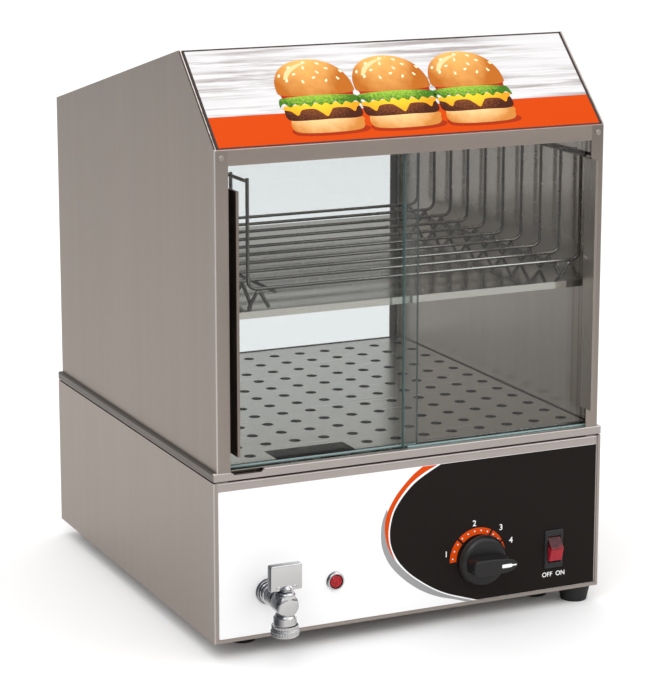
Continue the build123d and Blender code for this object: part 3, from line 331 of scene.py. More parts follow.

# the rim: side faces painted darker in fine lines as shade, a ledge beside the cabinet painted dark as shade, and the
# notch in its front edge painted dark as shade
LEDGE_SHADE_COLOUR = (0.10, 0.09, 0.08)
LEDGE_SIDE_X, LEDGE_FRONT_Y = 0.19, -0.188
NOTCH_SHADE_COLOUR = (0.075, 0.06, 0.05)
NOTCH_X, NOTCH_HALF_WIDTH = -0.1665, 0.0162
NOTCH_LOW_Z, NOTCH_HIGH_Z = 0.1719, 0.1748
NOTCH_FRONT_Y = -0.1910
rim_side_shade = rim_steel.ramp(rim_steel.away("X", "Normal"), 0.0, 1.0, 0.6, 0.9)
rim_lines = rim_steel.ramp(rim_steel.noise(rim_steel.stretched((1, 6, 900)), 1.0, 2.0), 0.75, 1.0, 0.35, 0.65)
rim_shaded_tone = rim_steel.mix(rim_steel.product(rim_side_shade, rim_lines), rim_steel.painted(), (0.20, 0.18, 0.165))
# painted shade: the ledge's top beside the cabinet is painted dark
on_ledge = rim_steel.product(
    rim_steel.over(rim_steel.axis("Z", "Normal"), 0.4),
    rim_steel.over(rim_steel.away("X"), LEDGE_SIDE_X),
    rim_steel.over(rim_steel.axis("Y"), LEDGE_FRONT_Y),
)
rim_shaded_tone = rim_steel.mix(on_ledge, rim_shaded_tone, LEDGE_SHADE_COLOUR)
# painted shade: the inside of the notch in the rim's front edge is painted dark
from_notch = rim_steel.math("ABSOLUTE", rim_steel.math("SUBTRACT", rim_steel.axis("X"), NOTCH_X))
in_notch = rim_steel.product(
    rim_steel.under(from_notch, NOTCH_HALF_WIDTH),
    rim_steel.over(rim_steel.axis("Z"), NOTCH_LOW_Z),
    rim_steel.under(rim_steel.axis("Z"), NOTCH_HIGH_Z),
    rim_steel.over(rim_steel.axis("Y"), NOTCH_FRONT_Y),
)
rim_steel.colour(rim_steel.mix(in_notch, rim_shaded_tone, NOTCH_SHADE_COLOUR))

# door pulls: the right pull is a lighter copy and the left a darker copy of one steel, painted light and shade; the
# left fins' side faces are painted almost black as shade
lit_copy_pull_steel = brushed_steel("door pull steel, painted lighter", (0.46, 0.41, 0.37), 0.30, "Z", 0.05)
shaded_copy_pull_steel = brushed_steel("door pull steel", (0.36, 0.30, 0.265), 0.38, "Z", 0.03)
fin_side_shade = shaded_copy_pull_steel.ramp(shaded_copy_pull_steel.away("X", "Normal"), 0.0, 1.0, 0.6, 0.9)
shaded_copy_pull_steel.colour(shaded_copy_pull_steel.mix(fin_side_shade, shaded_copy_pull_steel.painted(), (0.062, 0.048, 0.038)))

roof_steel = brushed_steel("roof steel, brushed across", SIDE_TONE, 0.34, "X")
shelf_steel = brushed_steel("shelf steel, rolled bright", (0.86, 0.83, 0.76), 0.12, "X", 0.04)
# water pan: painted near-black as shade, for the dark inside of the pan under the tray
shade_dark_pan_steel = brushed_steel("pan steel, painted dark as shade", (0.026, 0.024, 0.022), 0.5, "X", 0.08)
track_steel = plain_metal("track steel", (0.62, 0.60, 0.57), 0.22)
tray_steel = brushed_steel("tray steel, brushed across", (0.82, 0.81, 0.77), 0.24, "X", 0.04)
rivet_steel = plain_metal("rivet heads", (0.52, 0.47, 0.43), 0.45)

# basket wire: dark, with a painted glint along its upper front that is dimmer on the left
wire_steel = plain_metal("basket wire, drawn", (0.2, 0.19, 0.17), 0.2, 200.0)
lit = wire_steel.math("MULTIPLY", wire_steel.axis("X", "Normal"), 0.42)
lit = wire_steel.math("ADD", lit, wire_steel.math("MULTIPLY", wire_steel.axis("Y", "Normal"), -0.55))
lit = wire_steel.math("ADD", lit, wire_steel.math("MULTIPLY", wire_steel.axis("Z", "Normal"), 0.62))
glint = wire_steel.ramp(lit, 0.0, 1.0, 0.50, 0.68)
glint = wire_steel.math("MULTIPLY", glint, wire_steel.ramp(wire_steel.axis("X"), 0.25, 1.0, -0.06, 0.06), clamp=True)
wire_steel.colour(wire_steel.mix(glint, (0.075, 0.068, 0.056), (1.0, 0.98, 0.93)))


def chrome_plate(name, bright, dark):
    """Chrome with a painted reflection: its upper left faces are painted dark and its front bright, as if it mirrored a
    dark studio above and left and a bright one in front.
    """
    metal = plain_metal(name, bright, 0.06)
    to_left = metal.math("MULTIPLY", metal.axis("X", "Normal"), -0.85)
    shade = metal.math("ADD", to_left, metal.math("MULTIPLY", metal.axis("Z", "Normal"), 0.62))
    metal.colour(metal.mix(metal.ramp(shade, 0.0, 1.0, 0.34, 0.74), bright, dark))
    return metal


chrome = chrome_plate("chrome plate", (0.93, 0.93, 0.94), (0.095, 0.10, 0.115))
# the escutcheon's chrome: a darker copy of the chrome, painted shade
dark_chrome = chrome_plate("chrome plate, in shade", (0.50, 0.50, 0.52), (0.08, 0.085, 0.10))
zinc = plain_metal("zinc plate", (0.5, 0.5, 0.48), 0.35)
brass = plain_metal("yellow brass", (0.62, 0.44, 0.18), 0.3)
sheath = plain_metal("element sheath, heat tinted", (0.16, 0.12, 0.09), 0.4)
rubber = moulded("foot rubber", (0.012, 0.012, 0.012), 0.55)
black_plastic = moulded("black switch plastic", (0.014, 0.014, 0.015), 0.38)
knob_plastic = moulded("black knob plastic", (0.012, 0.011, 0.011), 0.34)
phenolic = moulded("brown phenolic", (0.05, 0.03, 0.02), 0.5)

# rocker: its upper half is painted darker as shade
ROCKER_SHADE_Z = (0.0588, 0.0635)
red_plastic = Surface("red rocker plastic", (0.30, 0.012, 0.02), 0.18)
red_plastic.shader.inputs["Subsurface Weight"].default_value = 0.1
red_cloud = red_plastic.ramp(red_plastic.noise(red_plastic.stretched((1, 1, 1)), 260.0, 2.0), -0.25, 0.25, 0.3, 0.7)
rocker_top_shade = red_plastic.ramp(red_plastic.axis("Z"), 1.0, 0.0, *ROCKER_SHADE_Z)
red_share = red_plastic.math("ADD", red_cloud, rocker_top_shade, clamp=True)
red_plastic.colour(red_plastic.mix(red_share, (0.045, 0.003, 0.006), (0.36, 0.012, 0.024)))

lens_plastic = Surface("red lens", (0.5, 0.006, 0.014), 0.12)
lens_plastic.shader.inputs["Specular IOR Level"].default_value = 0.3
lens_plastic.shader.inputs["Coat Weight"].default_value = 0.6
lens_facets = lens_plastic.node("ShaderNodeTexVoronoi", Vector=lens_plastic.stretched((1, 1, 1)), Scale=600.0)
lens_plastic.bump(lens_facets.outputs["Distance"], 0.3, 0.0002)
# painted light and shade on the facets: lighter in their middles, darker towards their edges
facet_edge_shade = lens_plastic.ramp(lens_facets.outputs["Distance"], 0.0, 1.0, 0.15, 0.6)
lens_plastic.colour(lens_plastic.mix(facet_edge_shade, (0.60, 0.012, 0.025), (0.24, 0.002, 0.006)))


def pane_glass(name):
    """Float glass that faces the front: clear with a mirror's share by angle, and green where its ground edge shows."""
    glass = Surface(name, (0.10, 0.16, 0.15), 0.03)

    def blend(share, first, second):
        made = glass.node("ShaderNodeMixShader")
        glass.feed(made.inputs[0], share)
        glass.links.new(first.outputs[0], made.inputs[1])
        glass.links.new(second.outputs[0], made.inputs[2])
        return made

    clear = glass.node("ShaderNodeBsdfTransparent", Color=(0.912, 0.925, 0.926, 1))
    mirror = glass.node("ShaderNodeBsdfGlossy", Color=(1, 1, 1, 1), Roughness=0.01)
    tilt = glass.node("ShaderNodeLayerWeight", Blend=0.5).outputs["Facing"]
    share = glass.math("ADD", glass.math("MULTIPLY", glass.math("POWER", tilt, 5.0), 0.9), 0.04, clamp=True)
    face = blend(share, clear, mirror)
    edge_clear = glass.node("ShaderNodeBsdfTransparent", Color=(0.22, 0.36, 0.33, 1))
    edge = blend(0.65, edge_clear, glass.shader)
    pick = blend(glass.over(glass.away("Y", "Normal"), 0.9), edge, face)
    glass.links.new(pick.outputs[0], glass.nodes["Material Output"].inputs["Surface"])
    return glass


door_glass = pane_glass("door glass")

ORANGE = (0.61, 0.058, 0.0006)


def printed(name, colour, roughness=0.42):
    """A screen-printed colour with a satin skin."""
    ink = Surface(name, colour, roughness)
    ink.shader.inputs["Specular IOR Level"].default_value = 0.08
    ink.roughness(ink.ramp(ink.noise(ink.stretched((1, 1, 1)), 30.0), roughness - 0.06, roughness + 0.06))
    return ink


white_print = printed("white print", (0.86, 0.86, 0.86))
black_print = printed("black print", (0.013, 0.010, 0.009))
orange_print = printed("orange print", ORANGE)
grey_print = printed("grey print", (0.30, 0.30, 0.305))

# sign: whitewashed boards over an orange band, in the slanted panel's own plane
SIGN_LOW, SIGN_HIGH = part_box("sign_graphic")
SLANT = atan2(SIGN_HIGH.z - SIGN_LOW.z, SIGN_HIGH.y - SIGN_LOW.y)
SIGN_LEN = hypot(SIGN_HIGH.z - SIGN_LOW.z, SIGN_HIGH.y - SIGN_LOW.y)
BAND_SHARE = 0.313
BOARD_COUNT = 5.0


def sign_plane(ink):
    """Object coordinates from the sign's foot, laid flat: X across the sign and Y up its slope."""
    from_foot = ink.node("ShaderNodeVectorMath", Vector=ink.place.outputs["Object"])
    from_foot.operation = "SUBTRACT"
    from_foot.inputs[1].default_value = (0, SIGN_LOW.y, SIGN_LOW.z)
    flat = ink.node("ShaderNodeVectorRotate", Vector=from_foot.outputs[0], Angle=-SLANT)
    flat.rotation_type = "X_AXIS"
    return flat.outputs[0]


sign_print = Surface("sign print", (0.8, 0.8, 0.78), 0.35)
sign_print.shader.inputs["Specular IOR Level"].default_value = 0.06
sign_flat = sign_plane(sign_print)
sign_split = sign_print.node("ShaderNodeSeparateXYZ", Vector=sign_flat)
sign_up = sign_print.math("DIVIDE", sign_split.outputs["Y"], SIGN_LEN)
board = sign_print.math("MULTIPLY", sign_up, BOARD_COUNT)
board_index = sign_print.math("FLOOR", board)
board_part = sign_print.math("FRACT", board)
board_slide = sign_print.math("MULTIPLY", board_index, 7.3)
board_shift = sign_print.node("ShaderNodeCombineXYZ", X=board_slide, Y=board_index, Z=0.0)
grain_at = sign_print.node("ShaderNodeVectorMath", Vector=sign_flat)
grain_at.operation = "ADD"
sign_print.links.new(board_shift.outputs[0], grain_at.inputs[1])
grain_map = sign_print.node("ShaderNodeMapping", Vector=grain_at.outputs[0])
grain_map.inputs["Scale"].default_value = (9, 210, 1)
streaks = sign_print.noise(grain_map.outputs["Vector"], 1.0, 5.0, 0.65)
patch_map = sign_print.node("ShaderNodeMapping", Vector=grain_at.outputs[0])
patch_map.inputs["Scale"].default_value = (5, 34, 1)
patches = sign_print.noise(patch_map.outputs["Vector"], 1.0, 2.0)
worn_streaks = sign_print.ramp(streaks, 0.0, 1.0, 0.44, 0.60)
worn = sign_print.math("MULTIPLY", worn_streaks, sign_print.ramp(patches, 0.12, 1.0, 0.40, 0.60), clamp=True)
seam = sign_print.ramp(sign_print.math("ABSOLUTE", sign_print.math("SUBTRACT", board_part, 0.5)), 0.0, 0.6, 0.475, 0.5)
boards = sign_print.mix(worn, (0.70, 0.69, 0.695), (0.36, 0.32, 0.315))
boards = sign_print.mix(sign_print.math("MULTIPLY", seam, 0.7), boards, (0.42, 0.37, 0.36))
in_band = sign_print.math("LESS_THAN", sign_up, BAND_SHARE)
sign_print.colour(sign_print.mix(in_band, boards, ORANGE))

for steel, corner in ((side_steel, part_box("base_shell")[0]), (wall_steel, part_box("left_side_panel")[0])):
    bright_bend(steel, abs(corner.x), corner.y)

PAINT = {
    "base_shell": side_steel, "base_front_panel": front_steel, "bottom_plate": roof_steel,
    "rim_deck": rim_steel, "left_side_panel": wall_steel, "right_side_panel": wall_steel,
    "roof_panel": roof_steel, "sign_panel": front_steel, "front_header": header_steel,
    "rear_header": front_steel, "upper_door_track": track_steel, "lower_door_track": track_steel,
    "window_channels": track_steel, "window_sill": track_steel, "water_pan": shade_dark_pan_steel,
    "perforated_tray": tray_steel, "shelf": shelf_steel, "shelf_rails": track_steel,
    "basket_wires": wire_steel, "basket_rails": wire_steel, "basket_cross_wires": wire_steel,
    "basket_feet": wire_steel, "left_glass_door": door_glass, "right_glass_door": door_glass,
    "rear_window": door_glass, "left_door_handle": shaded_copy_pull_steel, "right_door_handle": lit_copy_pull_steel,
    "cabinet_rivets": rivet_steel, "control_label": white_print, "sign_graphic": sign_print,
    "rubber_feet": rubber, "foot_screws": zinc, "foot_nuts": zinc, "heat_control": phenolic,
    "control_nut": zinc, "control_shaft": zinc, "thermostat_knob": knob_plastic,
    "power_switch": black_plastic, "power_rocker": red_plastic, "lamp_bezel": chrome,
    "lamp_lens": lens_plastic, "low_water_probe": brass, "heating_element": sheath,
    "element_nuts": brass, "element_supports": track_steel, "valve_escutcheon": dark_chrome,
    "valve_body": chrome, "valve_nozzle": chrome, "valve_handle": chrome, "drain_pipe": brass,
    "drain_union": brass, "drain_nut": brass, "cord_gland": black_plastic,
    "gland_nut": black_plastic, "terminal_block": phenolic,
}
for node_name, surface in PAINT.items():
    cad_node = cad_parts[node_name]
    if not cad_node.material_slots:
        cad_node.data.materials.append(surface.material)
    for material_slot in cad_node.material_slots:
        material_slot.material = surface.material


# ---------------------------------------------------------------- modelling helpers
def deselect():
    if bpy.context.object and bpy.context.object.mode != "OBJECT":
        bpy.ops.object.mode_set(mode="OBJECT")
    bpy.ops.object.select_all(action="DESELECT")


def settle(name, surface, body, replaced=(), smooth=35):
    """Names the active object, bakes its place into its mesh, shades it and hands it to a body."""
    piece = bpy.context.object
    piece.name = name
    piece.data.name = name
    bpy.ops.object.transform_apply(location=True, rotation=True, scale=True)
    bpy.ops.object.shade_smooth_by_angle(angle=radians(smooth))
    piece.data.materials.clear()
    piece.data.materials.append(surface.material)
    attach(piece, body)
    if replaced:
        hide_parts(*replaced)
    return piece


def round_edges(width, segments=2, angle=30):
    """Bevels the sharp edges of the active object."""
    bevel = bpy.context.object.modifiers.new("edges", "BEVEL")
    bevel.width = width
    bevel.segments = segments
    bevel.limit_method = "ANGLE"
    bevel.angle_limit = radians(angle)
    bevel.harden_normals = False
    bpy.ops.object.modifier_apply(modifier=bevel.name)


AXES = {"-Y": (pi / 2, 0, 0), "+Z": (0, 0, 0), "-Z": (pi, 0, 0)}
WAY = {"-Y": (0, -1, 0), "+Z": (0, 0, 1), "-Z": (0, 0, -1)}


def turned(name, center, way, profile, surface, body, replaced=(), sides=64, ring=False, smooth=35):
    """A lathe-turned piece: circles of (distance along, radius) in millimetres, drawn out one after another."""
    deselect()
    step = WAY[way]
    first_along, first_radius = profile[0]
    start = [c + s * first_along * MM for c, s in zip(center, step)]
    bpy.ops.mesh.primitive_circle_add(
        vertices=sides, radius=first_radius * MM, fill_type="NOTHING" if ring else "NGON",
        location=start, rotation=AXES[way],
    )
    bpy.ops.object.transform_apply(location=True, rotation=True, scale=True)
    bpy.ops.object.mode_set(mode="EDIT")
    bpy.ops.mesh.select_all(action="SELECT")
    along, radius = first_along, first_radius
    for next_along, next_radius in profile[1:]:
        move = [s * (next_along - along) * MM for s in step]
        bpy.ops.mesh.extrude_region_move(TRANSFORM_OT_translate={"value": move})
        share = next_radius / radius
        size = [1 if s else share for s in step]
        middle = [c + s * next_along * MM for c, s in zip(center, step)]
        bpy.ops.transform.resize(value=size, center_override=middle)
        along, radius = next_along, next_radius
    if ring:
        bpy.ops.mesh.select_non_manifold()
        bpy.ops.mesh.bridge_edge_loops()
    bpy.ops.mesh.select_all(action="SELECT")
    bpy.ops.mesh.normals_make_consistent(inside=False)
    bpy.ops.object.mode_set(mode="OBJECT")
    return settle(name, surface, body, replaced, smooth)


def rounded_block(name, low, high, edge, surface, body, replaced=(), segments=3):
    """A block between two corners, in millimetres, with rounded edges."""
    deselect()
    center = [(a + b) / 2 * MM for a, b in zip(low, high)]
    bpy.ops.mesh.primitive_cube_add(size=1, location=center)
    bpy.context.object.scale = [(b - a) * MM for a, b in zip(low, high)]
    bpy.ops.object.transform_apply(location=True, rotation=True, scale=True)
    round_edges(edge * MM, segments)
    return settle(name, surface, body, replaced)


def flat_print(name, outlines, lift, surface, at=(0, 0, 0), turn=(pi / 2, 0, 0), body="case",
               edge=0.0, replaced=()):
    """Closed outlines of (across, up) points in millimetres, as a layer that stands lift proud; edge rounds its rim."""
    deselect()
    line = bpy.data.curves.new(name, "CURVE")
    line.dimensions = "2D"
    line.fill_mode = "BOTH"
    line.extrude = lift / 2 - edge
    line.bevel_depth = edge
    line.bevel_resolution = 3
    line.offset = -edge
    for outline in outlines:
        spline = line.splines.new("POLY")
        spline.points.add(len(outline) - 1)
        for point, (across, up) in zip(spline.points, outline):
            point.co = (across * MM, up * MM, 0, 1)
        spline.use_cyclic_u = True
    shape = bpy.data.objects.new(name, line)
    bpy.context.scene.collection.objects.link(shape)
    shape.rotation_euler = turn
    shape.location = at
    shape.select_set(True)
    bpy.context.view_layer.objects.active = shape
    bpy.ops.object.convert(target="MESH")
    if edge:
        bpy.ops.object.mode_set(mode="EDIT")
        bpy.ops.mesh.select_all(action="SELECT")
        bpy.ops.mesh.remove_doubles(threshold=0.00002)
        bpy.ops.mesh.normals_make_consistent(inside=False)
        bpy.ops.object.mode_set(mode="OBJECT")
    return settle(name, surface, body, replaced)


def smooth_line(points, steps=8):
    """A smooth open line through the points, end points included (a Catmull-Rom spline)."""
    line = []
    for i in range(len(points) - 1):
        before = points[max(i - 1, 0)]
        start, end = points[i], points[i + 1]
        after = points[min(i + 2, len(points) - 1)]
        for k in range(steps):
            t = k / steps
            line.append(tuple(
                0.5 * (2 * b + (c - a) * t + (2 * a - 5 * b + 4 * c - d) * t * t + (3 * b - a - 3 * c + d) * t ** 3)
                for a, b, c, d in zip(before, start, end, after)
            ))
    line.append(points[-1])
    return line


def closed(points, steps=6):
    """A smooth closed outline through the points."""
    return smooth_line([*points, points[0]], steps)[:-1]


def arc(center, radius, start, end, steps=24):
    """Points along a circle from one angle to another, in degrees."""
    angles = [radians(start + (end - start) * k / steps) for k in range(steps + 1)]
    return [(center[0] + radius * cos(a), center[1] + radius * sin(a)) for a in angles]


# ---------------------------------------------------------------- printed control overlay
PANEL_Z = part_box("base_shell")[0].z / MM
LABEL_LOW, LABEL_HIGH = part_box("control_label")
LABEL_Y = LABEL_LOW.y
LABEL_RIGHT = LABEL_HIGH.x / MM - 0.2
LABEL_TOP = LABEL_HIGH.z / MM - PANEL_Z - 0.2
LABEL_BOTTOM = LABEL_LOW.z / MM - PANEL_Z + 0.2


def on_panel(points):
    """Panel points, measured up from the casing's bottom edge, moved to the model's height."""
    return [(x, z + PANEL_Z) for x, z in points]


def print_on_panel(name, outlines, lift, surface):
    outlines = [on_panel(outline) for outline in outlines]
    return flat_print(name, outlines, lift * MM, surface, at=(0, LABEL_Y - lift * MM / 2, 0))


black_edge = smooth_line([
    (27.9, LABEL_TOP), (13.7, 134.0), (1.6, 126.7), (-7.8, 118.3), (-15.5, 108.9), (-20.6, 99.9), (-23.6, 89.1),
    (-24.4, 79.6), (-23.3, 69.8), (-19.4, 59.6), (-13.3, 49.9), (-3.7, 39.6), (7.6, 30.7), (21.7, 21.4),
    (35.9, 14.4), (51.9, 8.8), (68.0, LABEL_BOTTOM),
])
black_area = black_edge + [(LABEL_RIGHT, LABEL_BOTTOM), (LABEL_RIGHT, LABEL_TOP)]
orange_crescent = smooth_line([
    (8.9, LABEL_TOP), (-0.2, 134.9), (-8.7, 127.2), (-17.2, 117.9), (-24.0, 107.6), (-28.3, 97.7), (-29.7, 88.3),
    (-29.0, 78.6), (-26.4, 68.6), (-22.0, 59.1), (-18.5, 53.8),
]) + smooth_line([
    (-18.5, 53.8), (-21.2, 59.8), (-24.7, 70.0), (-25.9, 79.8), (-25.1, 89.3), (-22.3, 100.1), (-17.2, 109.9),
    (-10.4, 118.6), (-1.8, 127.1), (10.2, 134.8), (24.4, LABEL_TOP),
])[1:]
grey_crescent = smooth_line([
    (-27.6, 105.0), (-32.2, 93.4), (-33.6, 82.4), (-32.9, 71.1), (-29.8, 61.0), (-23.7, 49.7), (-14.1, 38.7),
    (-2.8, 28.9), (11.2, 19.6), (27.1, 12.4), (44.8, 7.2), (56.0, LABEL_BOTTOM),
]) + smooth_line([
    (64.5, LABEL_BOTTOM), (50.1, 7.9), (35.9, 13.1), (21.7, 20.0), (7.7, 29.1), (-2.9, 37.2), (-12.5, 46.5),
    (-18.5, 53.8), (-21.5, 59.1), (-25.4, 68.6), (-27.0, 78.6), (-27.7, 88.3), (-26.3, 97.7),
])
print_on_panel("print_grey_crescent", [grey_crescent], 0.05, grey_print)
print_on_panel("print_orange_crescent", [orange_crescent], 0.09, orange_print)
print_on_panel("print_black_area", [black_area], 0.07, black_print)

RING = (67.8, 45.1)
RING_OUTER = 29.5


def ring_part(name, start, end, inner_start, inner_end):
    """One printed part of the dial ring; its inner radius changes evenly from one end to the other."""
    steps = 24
    outline = arc(RING, RING_OUTER, start, end, steps)
    for k, (x, z) in enumerate(arc(RING, 1.0, end, start, steps)):
        reach = inner_end + (inner_start - inner_end) * k / steps
        outline.append((RING[0] + reach * (x - RING[0]), RING[1] + reach * (z - RING[1])))
    print_on_panel(name, [outline], 0.11, orange_print)


ring_part("print_dial_ring_0", 183.0, 137.4, 22.5, 22.5)
ring_part("print_dial_ring_1", 132.6, 61.4, 22.5, 23.1)
ring_part("print_dial_ring_2", 56.8, 29.6, 23.2, 25.4)
ring_part("print_dial_ring_3", 25.8, 1.0, 25.9, 29.2)
dial_dots = [
    (41.3, 47.1), (43.1, 54.3), (46.6, 60.7), (51.4, 65.9), (57.5, 69.4), (64.4, 71.4), (71.3, 71.5),
    (78.0, 69.5), (84.2, 65.9), (89.1, 60.8), (92.7, 54.5),
]
for i, dot in enumerate(dial_dots):
    print_on_panel(f"print_dial_dot_{i}", [arc(dot, 0.75, 0, 345, 23)], 0.13, white_print)


def lettering(name, words, size, at, surface, lift=0.09):
    """Flat characters on the panel, centred on a point."""
    deselect()
    place = (at[0] * MM, LABEL_Y - lift * MM / 2, (at[1] + PANEL_Z) * MM)
    bpy.ops.object.text_add(location=place, rotation=(pi / 2, 0, 0))
    words_object = bpy.context.object
    words_object.data.body = words
    words_object.data.size = size * MM
    words_object.data.align_x = "CENTER"
    words_object.data.align_y = "CENTER"
    words_object.data.extrude = lift * MM / 2
    words_object.data.offset = size * MM * 0.012
    bpy.ops.object.convert(target="MESH")
    return settle(name, surface, "case")


NUMBER_SIZE, SWITCH_WORDS_SIZE = 8.0, 6.4
number_places = ((34.5, 52.5), (64.0, 79.0), (92.5, 71.5), (103.5, 57.5))
for i, at in enumerate(number_places):
    lettering(f"print_number_{i}", str(i + 1), NUMBER_SIZE, at, white_print)
lettering("print_on_off", "OFF  ON", SWITCH_WORDS_SIZE, (150.5, 17.6), white_print)

# ---------------------------------------------------------------- thermostat knob
KNOB_LOW, KNOB_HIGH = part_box("thermostat_knob")
KNOB = ((KNOB_LOW.x + KNOB_HIGH.x) / 2, KNOB_HIGH.y, (KNOB_LOW.z + KNOB_HIGH.z) / 2)
knob_skirt = [
    (0.0, 20.0), (0.0, 24.2), (0.5, 24.6), (2.2, 24.6), (2.6, 24.2), (4.6, 23.7), (6.4, 22.7), (7.6, 21.5), (8.2, 20.2),
    (8.4, 18.6), (8.4, 3.2), (4.5, 3.2), (4.5, 20.0),
]
turned("knob_skirt", KNOB, "-Y", knob_skirt, knob_plastic, "knob", ("thermostat_knob",), 96, True)
KNOB_FACE = KNOB_LOW.y
grip_outline = closed([
    (-20.5, 0), (-20.4, 3.6), (-19.4, 6.4), (-16.6, 7.7), (-12, 7.9), (-4, 7.8), (6, 7.3), (15, 6.4), (20.0, 4.9),
    (23.4, 2.6), (24.5, 0), (23.4, -2.6), (20.0, -4.9), (15, -6.4), (6, -7.3), (-4, -7.8), (-12, -7.9), (-16.6, -7.7),
    (-19.4, -6.4), (-20.4, -3.6),
])
SKIRT_SINK = 0.0079  # how far in front of the panel the grip starts, just under the skirt's face
GRIP_EDGE = 0.0016
POINTER_LIFT = 0.0003
GRIP_DEPTH = (KNOB[1] - SKIRT_SINK) - KNOB_FACE
grip_at = (KNOB[0], KNOB_FACE + GRIP_DEPTH / 2, KNOB[2])
flat_print("knob_grip", [grip_outline], GRIP_DEPTH, knob_plastic, grip_at, body="knob",
           edge=GRIP_EDGE)
pointer = closed([
    (7.6, 0.1), (7.8, 1.3), (9.0, 1.7), (17.2, 1.6), (18.6, 0.8), (22.6, 0.75), (22.8, 0), (22.6, -0.5), (18.6, -0.6),
    (17.2, -1.6), (9.0, -1.7), (7.8, -1.3),
], 4)
pointer_at = (KNOB[0], KNOB_FACE - 0.00002, KNOB[2])
flat_print("knob_pointer", [pointer], POINTER_LIFT, white_print, pointer_at, body="knob")

# ---------------------------------------------------------------- drain valve
ESCUTCHEON_LOW, ESCUTCHEON_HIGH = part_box("valve_escutcheon")
NOZZLE_LOW, NOZZLE_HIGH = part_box("valve_nozzle")
LEVER_LOW, LEVER_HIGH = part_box("valve_handle")
VALVE_X = (ESCUTCHEON_LOW.x + ESCUTCHEON_HIGH.x) / 2
OUTLET_Y = (NOZZLE_LOW.y + NOZZLE_HIGH.y) / 2
BARREL = (VALVE_X, ESCUTCHEON_LOW.y, (ESCUTCHEON_LOW.z + ESCUTCHEON_HIGH.z) / 2)
barrel_profile = [
    (-14.0, 6.0), (-0.2, 6.0), (-0.1, 9.9), (1.6, 9.9), (2.0, 9.3), (6.0, 9.3), (6.3, 10.2), (8.4, 10.2), (8.8, 9.4),
    (15.0, 9.4), (15.4, 9.8), (16.2, 9.8), (16.6, 9.4), (17.8, 9.4), (18.2, 9.8), (19.0, 9.8), (19.4, 9.4), (20.6, 9.4),
    (21.0, 9.8), (21.8, 9.8), (22.2, 9.4), (25.0, 9.6), (26.6, 10.5), (28.4, 11.0), (40.0, 11.0), (41.8, 10.7),
    (43.2, 9.9), (44.2, 8.5), (44.8, 6.4), (45.1, 3.6), (45.2, 0.6),
]
turned("valve_barrel", BARREL, "-Y", barrel_profile, chrome, "case", ("valve_body",), 72)
OUTLET = (VALVE_X, OUTLET_Y, BARREL[2])
neck_profile = [(0.0, 8.4), (9.0, 8.6), (10.9, 9.2), (12.0, 10.5), (18.2, 10.6), (18.9, 10.1)]
bonnet_profile = [(4.0, 9.7), (9.6, 9.8), (11.0, 9.3), (12.0, 8.2), (12.5, 6.6)]
turned("valve_neck", OUTLET, "-Z", neck_profile, chrome, "case")
turned("valve_bonnet", OUTLET, "+Z", bonnet_profile, chrome, "case")
SPOUT = (VALVE_X, OUTLET_Y, NOZZLE_HIGH.z)
spout_profile = [
    (0.0, 7.5), (0.0, 11.6), (0.7, 12.2), (3.4, 12.2), (4.0, 11.5), (4.7, 11.5), (5.1, 12.5), (5.7, 13.0), (7.2, 13.0),
    (8.7, 13.0), (9.5, 12.4), (10.4, 11.3), (10.5, 8.1), (9.9, 7.5),
]
KNURL_COUNT = 56
KNURL_TOP, KNURL_MIDDLE, KNURL_FOOT = 5.8, 7.2, 8.6  # two rows, in millimetres down from the spout's top
KNURL_RADIUS = 0.0124
KNURL_RIM, KNURL_DEPTH = 0.00012, 0.00022
spout = turned("valve_spout", SPOUT, "-Z", spout_profile, chrome, "case", ("valve_nozzle",),
               sides=KNURL_COUNT, ring=True)
deselect()
spout.select_set(True)
bpy.context.view_layer.objects.active = spout
for face in spout.data.polygons:
    fx, fy, fz = face.center
    down = (NOZZLE_HIGH.z - fz) / MM
    turn_index = int((atan2(fy - OUTLET_Y, fx - VALVE_X) / (2 * pi) + 1) * KNURL_COUNT)
    row = 0 if down < KNURL_MIDDLE else 1
    on_knurl = KNURL_TOP < down < KNURL_FOOT and hypot(fx - VALVE_X, fy - OUTLET_Y) > KNURL_RADIUS
    face.select = on_knurl and (turn_index + row) % 2 == 0
bpy.ops.object.mode_set(mode="EDIT")
bpy.ops.mesh.select_mode(type="FACE")
bpy.ops.mesh.inset(thickness=KNURL_RIM, use_individual=True)
bpy.ops.transform.shrink_fatten(value=-KNURL_DEPTH)
bpy.ops.mesh.select_mode(type="VERT")
bpy.ops.object.mode_set(mode="OBJECT")

LEVER_RISE = 0.0128  # the barrel's middle to the lever's underside
PADDLE_EDGE = 1.5
LEVER_FLOOR = BARREL[2] + LEVER_RISE
paddle_low = (LEVER_LOW.x / MM, LEVER_LOW.y / MM, LEVER_FLOOR / MM + 0.4)
paddle_high = (LEVER_HIGH.x / MM, LEVER_HIGH.y / MM, LEVER_HIGH.z / MM)
rounded_block("lever_paddle", paddle_low, paddle_high, PADDLE_EDGE, chrome, "valve_lever", ("valve_handle",),
              segments=4)
LEVER_FOOT = (VALVE_X, OUTLET_Y, LEVER_FLOOR)
turned("lever_hub", LEVER_FOOT, "+Z", [
    (0.0, 6.4), (0.2, 7.6), (1.0, 8.3), (2.4, 8.0), (3.6, 6.6), (4.6, 5.0), (5.4, 3.8),
], chrome, "valve_lever")
BUMP_REACH, BUMP_RISE = 0.0078, 0.0007
bump_profile = [(0.0, 3.2), (0.4, 4.4), (1.8, 4.9), (3.4, 4.6), (4.8, 3.8)]
for side in (-1, 1):
    bump_at = (VALVE_X + side * BUMP_REACH, OUTLET_Y, LEVER_FLOOR + BUMP_RISE)
    turned(f"lever_bump_{side + 1}", bump_at, "+Z", bump_profile, chrome, "valve_lever", sides=32)
